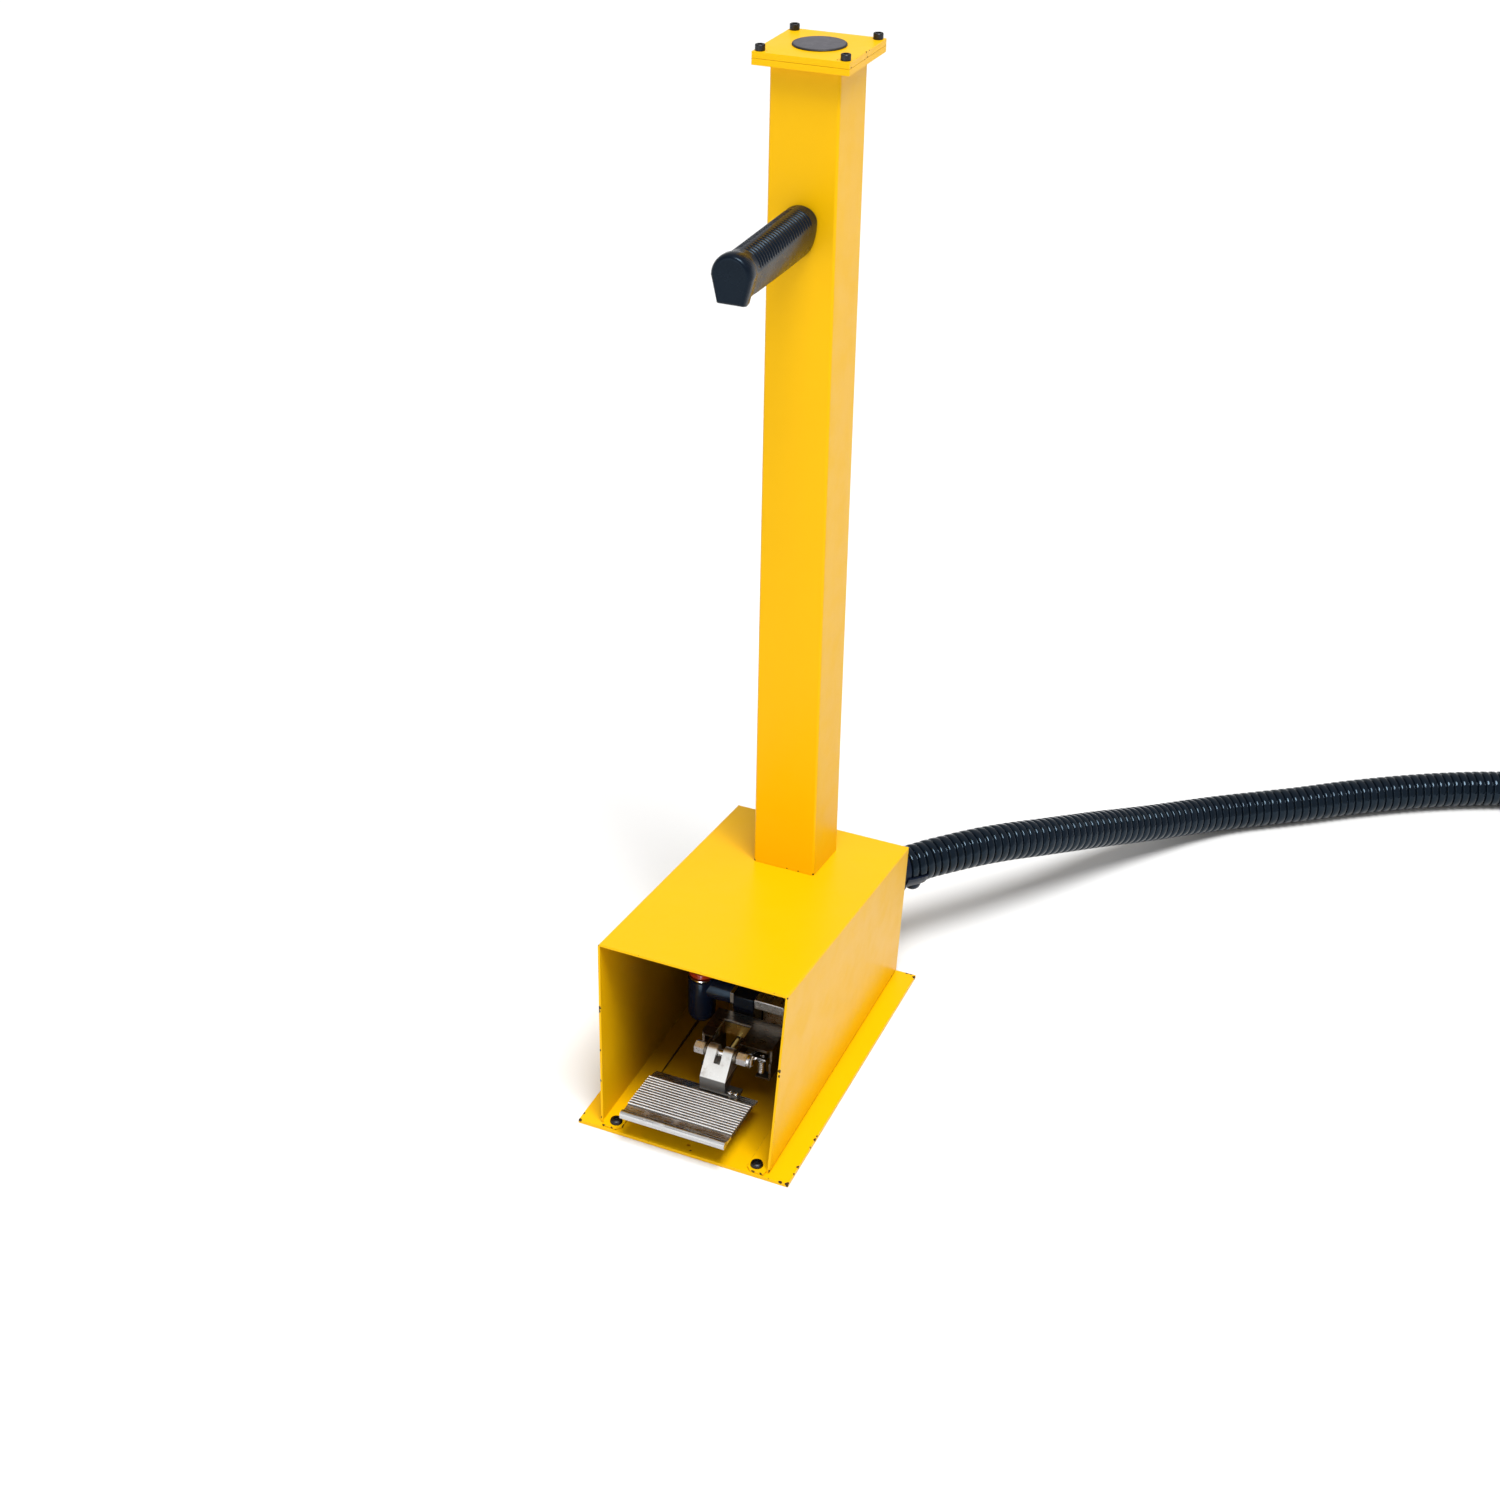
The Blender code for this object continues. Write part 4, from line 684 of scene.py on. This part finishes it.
def refine(name, material, width=0.0, segments=2):
    """Gives a CAD node its material, soft edges of the given width and clean shading."""
    node = NODES[name]
    weld = node.modifiers.new("weld", "WELD")
    weld.merge_threshold = WELD_DISTANCE
    flat = node.modifiers.new("flat_faces", "DECIMATE")
    flat.decimate_type = "DISSOLVE"
    flat.angle_limit = math.radians(FLAT_ANGLE)
    if width:
        bevel = node.modifiers.new("soft_edges", "BEVEL")
        bevel.width = width
        bevel.segments = segments
        bevel.limit_method = "ANGLE"
        bevel.angle_limit = math.radians(SHARP_ANGLE)
        bevel.miter_outer = "MITER_ARC"
    shading = node.modifiers.new("shading", "NODES")
    shading.node_group = SHADING
    weighted = node.modifiers.new("weighted_normals", "WEIGHTED_NORMAL")
    weighted.keep_sharp = True
    node.data.materials.clear()
    node.data.materials.append(material)


# ---------------------------------------------------------------- conduit


def conduit():
    """The corrugated conduit, its threaded end and the elbow that it leaves."""
    tones = ((0.0010, 0.0024, 0.0050), (0.0028, 0.0058, 0.0110))
    look = plastic("conduit_plastic", *tones, 0.06, 0.34, (700, 0.05), 0.10)
    line, length = smooth_line(HOSE_ROUTE, HOSE_SPACING)
    stations = [
        (rib * HOSE_PITCH + share * HOSE_PITCH, HOSE_RADIUS - drop)
        for rib in range(int(length / HOSE_PITCH))
        for share, drop in HOSE_RIB
    ]
    stations.append((length, HOSE_RADIUS - HOSE_RIB[0][1]))
    hose = swept("conduit", line, stations, HOSE_AROUND, look)
    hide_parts("hose")
    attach(hose, "pedestal")

    tones = ((0.0030, 0.0045, 0.0120), (0.0060, 0.0090, 0.0210))
    fitting = plastic("conduit_fitting_plastic", *tones, 0.30, 0.28, (1100, 0.3))
    end = conduit_end(line, fitting)
    conduit_elbow(line, fitting)


def conduit_end(line, material):
    """The straight connector: a ribbed gland nut on the conduit, a hexagon and a thread."""
    heading = line[-1] - line[-2]
    start = line[-1] + heading / np.linalg.norm(heading) * ELBOW_GAP
    nut = [(0.0, 0.0225), (0.0, 0.0245), (0.0008, 0.0256), (0.002, 0.0265)]
    nut += [(0.003 + 0.002 * i, 0.0265) for i in range(10)]
    nut += [(0.0235, 0.0262), (0.025, 0.0250), (0.027, 0.0222), (0.0275, 0.0205), (0.030, 0.020)]
    grips = {"lobes": 24, "lobe_depth": 0.0016, "lobe_span": (0.003, 0.0225)}
    body = turned_about("conduit_end", start, heading, nut, 120, material, **grips)
    hexagon = [(0.0275, 0.0225), (0.0283, 0.0240), (0.0352, 0.0240), (0.036, 0.0225)]
    flats = turned_about("end_hexagon", start, heading, hexagon, 6, material)
    thread = [(0.0355, 0.0163)]
    pitch, root, crest = 0.0021, 0.0152, 0.0166
    for turn in range(11):
        z = 0.0375 + turn * pitch
        thread += [(z, root), (z + 0.35 * pitch, crest), (z + 0.5 * pitch, crest), (z + 0.85 * pitch, root)]
    thread += [(0.0610, root), (0.0618, 0.0146), (0.062, 0.0135)]
    screw = turned_about("end_thread", start, heading, thread, 48, material)
    obj = joined(body, flats, screw)
    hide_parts("hose_end")
    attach(obj, "pedestal")
    return obj


def saddle(line, material):
    """The adaptor's smooth cup under the conduit's first ribs."""
    run = distances(line)
    heading, sides, others = carried_frames(line, (0, 0, 1))
    lows = np.linspace(math.radians(100), math.radians(260), 25)
    profile = ((-0.006, 0.0245), (0.0, 0.0252), (0.016, 0.0252), (0.021, 0.0250), (0.0225, 0.0240))
    rings = []
    for along_line, outer in profile:
        at = value_at(max(along_line, 0), run, line) + heading[0] * min(along_line, 0)
        outside = [at + outer * (math.cos(a) * sides[0] + math.sin(a) * others[0]) for a in lows]
        inside = [
            at + SADDLE_INSIDE * (math.cos(a) * sides[0] + math.sin(a) * others[0]) for a in reversed(lows)
        ]
        rings.append(outside + inside)
    points = [point for ring in rings for point in ring]
    return new_piece("elbow_saddle", points, ring_faces(len(rings), len(rings[0])), material)


def conduit_elbow(line, material):
    """The elbow adaptor, which turns from the rear panel to the conduit, with a cup and a boss below it."""
    start = np.array((CONDUIT_X, PANEL_REAR_Y, CONDUIT_Z))
    heading = line[3] - line[0]
    heading /= np.linalg.norm(heading)
    end = line[0] - heading * ELBOW_GAP
    points = [start]
    for t in np.linspace(0, 1, 24):
        first = start + np.array((0, 1, 0)) * (ELBOW_STRAIGHT + ELBOW_REACH * t)
        last = end - heading * (ELBOW_STRAIGHT + ELBOW_REACH * (1 - t))
        share = eased(t)
        points.append(first * (1 - share) + last * share)
    points.append(end)
    path = np.array(points)
    total = float(np.linalg.norm(np.diff(path, axis=0), axis=1).sum())
    stations = [(0.0008, ELBOW_RADIUS - 0.0010), (0.0016, ELBOW_RADIUS)]
    for s in np.linspace(0.003, total - 0.001, 26):
        stations.append((s, ELBOW_RADIUS + ELBOW_SWELL * max(0.0, 2 * s / total - 1)))
    body = swept("conduit_elbow", path, stations, 48, material)
    flange = [(0.0022, 0.018), (0.0022, 0.0235), (0.003, 0.0248)]
    flange += [(0.0075, 0.0248), (0.0085, 0.0238), (0.0085, 0.020)]
    collar = turned_about("elbow_flange", start, (0, 1, 0), flange, 8, material)
    boss = [(0.0, 0.0005), (0.0004, 0.0040), (0.0016, 0.0068), (0.0036, 0.0088)]
    boss += [(0.0064, 0.0100), (0.010, 0.0104), (0.0240, 0.0100)]
    cap = turned_about("elbow_boss", BOSS_PLACE, (0, 0, 1), boss, 48, material)
    obj = joined(body, collar, saddle(line, material), cap)
    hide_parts("hose_elbow")
    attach(obj, "pedestal")


# ---------------------------------------------------------------- grip and spring


def grip_section(y, count):
    """One section of the grip: an oval at the column that turns into a flat-bottomed D at the free end."""
    along = (GRIP_COLUMN_Y - y) / (GRIP_COLUMN_Y - GRIP_END_Y)
    flare = eased((along - 0.86) / 0.08)
    half = 0.018 + 0.0006 * along + 0.0014 * flare
    top = 0.9754 + 0.0008 * along + 0.0018 * flare
    bottom = 0.9225 + 0.013 * along**1.1 - 0.0055 * flare
    middle = GRIP_CENTRE_Z + 0.003 * (1 - along)
    foot = half * 0.68
    squareness = min(max(along / 0.8, 0), 1)
    points = []
    for angle in np.linspace(0, math.tau, count, endpoint=False):
        if angle <= math.pi:
            points.append((half * math.cos(angle), middle + (top - middle) * math.sin(angle)))
            continue
        share = angle / math.pi - 1
        oval = np.array((half * math.cos(angle), middle + (middle - bottom) * math.sin(angle)))
        if share < 0.36:
            box = np.array((-half + (half - foot) * share / 0.36, middle - (middle - bottom) * share / 0.36))
        elif share > 0.64:
            rest = (1 - share) / 0.36
            box = np.array((half - (half - foot) * rest, middle - (middle - bottom) * rest))
        else:
            box = np.array((foot * (share - 0.5) / 0.14, bottom))
        points.append(tuple(oval + (box - oval) * squareness))
    return np.array(points)


def rib_share(angle):
    """How deep the grip's cross ribs are at an angle round it: they fill the two upper flanks."""
    degrees = math.degrees(angle)
    if degrees > 180:
        degrees = 180 - degrees if degrees < 270 else degrees - 360
    flank = min(degrees, 180 - degrees)
    return eased((flank - 6) / 8) * eased((86 - flank) / 14)


def grip():
    """The moulded grip with its cross ribs, its raised end collar and a dished end face."""
    shares = [rib_share(math.tau * i / GRIP_AROUND) for i in range(GRIP_AROUND)]
    ribbed = np.arange(GRIP_RIB_FIRST_Y, GRIP_RIB_LAST_Y, -(GRIP_RIB_PITCH / GRIP_RIB_STEPS))
    stations = [(GRIP_COLUMN_Y - 0.0002, 0.0016, 0.0), (GRIP_COLUMN_Y - 0.0006, 0.0007, 0.0)]
    stations += [(GRIP_COLUMN_Y - 0.0014, 0.0002, 0.0), (GRIP_COLUMN_Y - 0.003, 0.0, 0.0)]
    for y in ribbed:
        phase = ((GRIP_RIB_FIRST_Y - y) / GRIP_RIB_PITCH) % 1
        groove = (0.5 + 0.5 * math.cos(math.tau * phase)) ** 2.2
        stations.append((y, 0.0, groove * GRIP_RIB_DEPTH))
    collar = ((-0.064, 0.0), (-0.070, 0.0), (-0.0735, 0.0), (-0.0752, -0.0003), (-0.0765, -0.0008))
    collar += ((-0.0778, -0.0010), (-0.0840, -0.0010), (-0.0865, -0.0009), (-0.0885, -0.0005))
    collar += ((-0.0904, 0.0002), (-0.0917, 0.0012), (-0.0924, 0.0026), (-0.0925, 0.0040), (-0.0924, 0.0048))
    stations += [(y, inset, 0.0) for y, inset in collar]
    points = []
    for y, inset, groove in stations:
        for share, (x, z) in zip(shares, grip_section(max(y, GRIP_SHAPED_TO_Y), GRIP_AROUND)):
            out = np.array((x, z - GRIP_CENTRE_Z))
            reach = np.linalg.norm(out)
            out *= (reach - inset - groove * share) / reach
            points.append((out[0], y, GRIP_CENTRE_Z + out[1]))
    tones = ((0.0016, 0.0032, 0.0070), (0.0042, 0.0070, 0.0130))
    material = plastic("grip_plastic", *tones, 0.26, 0.20, (1300, 0.3), 0.18)
    obj = new_piece("grip", points, ring_faces(len(stations), GRIP_AROUND), material)
    obj.data.set_sharp_from_angle(angle=math.radians(50))
    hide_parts("handle_grip")
    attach(obj, "pedestal")


def spring(material):
    """The return spring, close wound, with a straight hooked end through each tab."""
    bottom, top = SPRING_LOW_Z - SPRING_HOOK, SPRING_HIGH_Z + SPRING_HOOK
    route = [(SPRING_X + 0.003, SPRING_Y, bottom), (SPRING_X + 0.0012, SPRING_Y, bottom)]
    route += [(SPRING_X, SPRING_Y, bottom + 0.0012), (SPRING_X, SPRING_Y, SPRING_LOW_Z - 0.0015)]
    count = SPRING_TURNS * SPRING_STEPS
    for step in range(count + 1):
        angle = math.tau * step / SPRING_STEPS
        share = step / count
        ease = min(1.0, step / 8, (count - step) / 8)
        route.append(
            (
                SPRING_X + SPRING_COIL * ease * math.cos(angle),
                SPRING_Y + SPRING_COIL * ease * math.sin(angle),
                SPRING_LOW_Z + (SPRING_HIGH_Z - SPRING_LOW_Z) * share,
            )
        )
    route += [(SPRING_X, SPRING_Y, SPRING_HIGH_Z + 0.0015), (SPRING_X, SPRING_Y, top - 0.0012)]
    route += [(SPRING_X + 0.0012, SPRING_Y, top), (SPRING_X + 0.003, SPRING_Y, top)]
    line, length = smooth_line(route, 0.0006)
    stations = [(s, SPRING_WIRE) for s in np.linspace(0, length, len(line))]
    obj = swept("return_spring_wire", line, stations, 8, material, side=(0, 1, 0.2))
    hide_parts("return_spring")
    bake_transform(obj)


# ---------------------------------------------------------------- the CAD nodes


def part_way(low, high, share):
    return tuple(a + (b - a) * share for a, b in zip(low, high))


def chip_row(low, high, chips):
    """Chips on an edge, each (share of the way from low to high, radius)."""
    return [(*part_way(low, high, share), radius) for share, radius in chips]


def painted_nodes():
    low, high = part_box("hood")
    left, right = (
        (
            (side * HOOD_TOP_HALF, HOOD_TOP_FRONT_Y, high.z),
            (side * HOOD_FOOT_HALF, HOOD_FOOT_FRONT_Y, low.z),
        )
        for side in (-1, 1)
    )
    spots = chip_row(*left, ((0.005, 0.0022), (0.35, 0.0040), (0.37, 0.0034), (0.59, 0.0022), (0.76, 0.0026)))
    spots += chip_row(*left, ((0.97, 0.0020), (0.15, 0.0012)))
    spots += chip_row(*right, ((0.01, 0.0024), (0.415, 0.0036), (0.44, 0.0022), (0.985, 0.0024)))
    spots += chip_row(*right, ((0.70, 0.0012),))
    spots += chip_row(left[0], right[0], ((0.93, 0.0012), (0.55, 0.0009), (0.22, 0.0008)))
    spots += [(0.1080, 0.010, 0.2060, 0.0011), (0.0995, 0.1880, 0.0070, 0.0030)]
    spots += [(0.0995, 0.172, 0.006, 0.0018)]
    refine("hood", yellow_paint("paint_hood", spots, flange_slit_shade_and_cut, shade_inside=True), 0.0004)

    low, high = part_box("base_plate")
    z = high.z
    front_left, front_right = (low.x, low.y, z), (high.x, low.y, z)
    rear_left, rear_right = (low.x, high.y, z), (high.x, high.y, z)
    right_side = front_right, rear_right
    spots = chip_row(*right_side, ((0.0, 0.0060), (0.045, 0.0030), (0.075, 0.0034), (0.16, 0.0022)))
    spots += chip_row(*right_side, ((0.195, 0.0036), (0.21, 0.0028), (0.60, 0.0012), (0.99, 0.0044)))
    spots += chip_row(front_right, front_left, ((0.035, 0.0034), (0.09, 0.0016)))
    spots += chip_row(front_right, front_left, ((0.66, 0.0013), (0.995, 0.0038)))
    spots += chip_row(front_left, rear_left, ((0.03, 0.0030), (0.4, 0.0014), (0.8, 0.002), (0.985, 0.0040)))
    spots += chip_row(rear_left, rear_right, ((0.2, 0.0014), (0.955, 0.0030), (0.975, 0.0030)))
    spots += [(0.0030, -0.1805, z, 0.0031), (0.0085, -0.1880, z, 0.0018)]
    refine("base_plate", yellow_paint("paint_base", spots, shade_inside=True), 0.0005)

    low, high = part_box("column")
    spots = [(low.x, low.y, COLUMN_FOOT_FRONT_Z, 0.0034), (high.x, low.y, COLUMN_FOOT_FRONT_Z, 0.0030)]
    spots += [(0.004, low.y, COLUMN_FOOT_FRONT_Z, 0.0013), (0.018, low.y, COLUMN_FOOT_FRONT_Z, 0.0015)]
    spots += [(high.x, high.y, COLUMN_FOOT_REAR_Z, 0.002)]
    spots += [(high.x, low.y, 0.62, 0.0008), (low.x, low.y, 0.83, 0.0009)]
    refine("column", yellow_paint("paint_column", spots))
    spots = [(0.09, 0.205, 0.112, 0.002), (-0.094, 0.205, 0.012, 0.002)]
    refine("rear_panel", yellow_paint("paint_rear", spots), 0.0003)

    low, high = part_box("top_plate")
    spots = [(high.x, low.y + 0.052, high.z, 0.0014), (high.x, low.y + 0.044, high.z, 0.0022)]
    spots += [(high.x, low.y + 0.047, low.z, 0.0018), (high.x, low.y + 0.004, low.z + 0.001, 0.0016)]
    spots += [(high.x - 0.0145, low.y + 0.0052, high.z, 0.0014)]
    spots += [(high.x - 0.0015, low.y + 0.0062, high.z, 0.0012)]
    spots += [(low.x + 0.0125, low.y + 0.0075, high.z, 0.0010)]
    spots += [(high.x - 0.010, high.y - 0.0012, high.z, 0.0014)]
    refine("top_plate", yellow_paint("paint_top_plate", spots), 0.0003)
    low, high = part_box("column_flange")
    spots = [(high.x, low.y + 0.040, high.z, 0.0012), (low.x, low.y, high.z, 0.0012)]
    refine("column_flange", yellow_paint("paint_flange", spots), 0.0003)


def metal_nodes():
    tones = ((0.022, 0.022, 0.024), (0.060, 0.060, 0.064))
    oxide = metal("black_oxide", *tones, 0.36, grain=(900, 0.00008, 0.3))
    for name in [f"hood_bolt_{i}" for i in range(1, 5)] + [f"top_screw_{i}" for i in range(1, 5)]:
        refine(name, oxide, 0.0003)
    tones = ((0.90, 0.90, 0.91), (0.96, 0.96, 0.97))
    drawn = (0.06, 1, 1)
    tread = metal("tread_aluminium", *tones, 0.27, drawn, (700, 0.00002, 0.1), 0.05, tread_shade)
    refine("pedal_tread", tread, 0.00025, 1)
    tones = ((0.55, 0.56, 0.58), (0.72, 0.73, 0.75))
    body = metal("body_aluminium", *tones, 0.32, (1, 0.1, 1), (700, 0.00008, 0.3), 0.3)
    refine("valve_body", body, 0.0003)
    tones = ((0.62, 0.62, 0.61), (0.84, 0.84, 0.82))
    cast = metal("cast_steel", *tones, 0.40, grain=(520, 0.0002, 0.3), stains=0.3, shaded=arm_foot_shade)
    refine("pedal_arm", cast, 0.0006)
    tones = ((0.55, 0.55, 0.56), (0.82, 0.82, 0.83))
    bright = metal("bright_steel", *tones, 0.15, grain=(600, 0.00008, 0.2), stains=0.3)
    tones = ((0.74, 0.75, 0.77), (0.92, 0.93, 0.95))
    nut = metal("nut_steel", *tones, 0.34, grain=(600, 0.00008, 0.2), stains=0.1)
    for name in ("pivot_nut_left", "pivot_nut_right", "lever_nut"):
        refine(name, nut, 0.0003)
    names = ["pivot_pin", "return_lever", "valve_side_plate"]
    names += ["valve_plunger", "elbow_ring", "elbow_nipple", "handle_core", "tread_screw_1", "tread_screw_2"]
    names += ["riser_screw_1", "riser_screw_2"] + [f"bracket_screw_{i}" for i in range(1, 5)]
    for name in names:
        refine(name, bright, 0.0002)
    tones = ((0.150, 0.132, 0.108), (0.205, 0.184, 0.155))
    rolled = (*tones, 0.32, (0.1, 1, 1), (800, 0.00003, 0.10), 0.15)
    refine("valve_bracket", metal("bracket_steel", *rolled, tones_and_highlights=bracket_tones_and_highlights), 0.0005)
    refine("valve_riser", metal("riser_steel", *rolled), 0.0005)
    tones = ((0.30, 0.18, 0.07), (0.60, 0.42, 0.20))
    bronze = metal("sintered_bronze", *tones, 0.55, grain=(1600, 0.0004, 0.9), stains=0.4)
    refine("exhaust_silencer", bronze, 0.0003)
    spring(bright)


def plastic_nodes():
    black = plastic("black_plastic", (0.0030, 0.0040, 0.0090), (0.0070, 0.0095, 0.0200), 0.24, 0.45)
    for name in ("valve_head", "rear_fitting", "conduit_lock_nut"):
        refine(name, black, 0.0004)
    blue = plastic("elbow_plastic", (0.0045, 0.0090, 0.0260), (0.0090, 0.0180, 0.0500), 0.20, 0.55)
    refine("elbow_fitting", blue, 0.0008)
    red = plastic("red_plastic", (0.50, 0.035, 0.008), (0.66, 0.070, 0.014), 0.24, 0.5, scuffs=0.1)
    refine("release_collar", red, 0.0004)
    tube = plastic("air_tube", (0.005, 0.006, 0.009), (0.011, 0.012, 0.016), 0.28, 0.45)
    for name in ("supply_tube", "outlet_tube"):
        refine(name, tube)
    refine("hole_plug", plug_rubber(), 0.0004)


camera()
studio()
conduit()
SHADING = shading_group()
grip()
painted_nodes()
metal_nodes()
plastic_nodes()
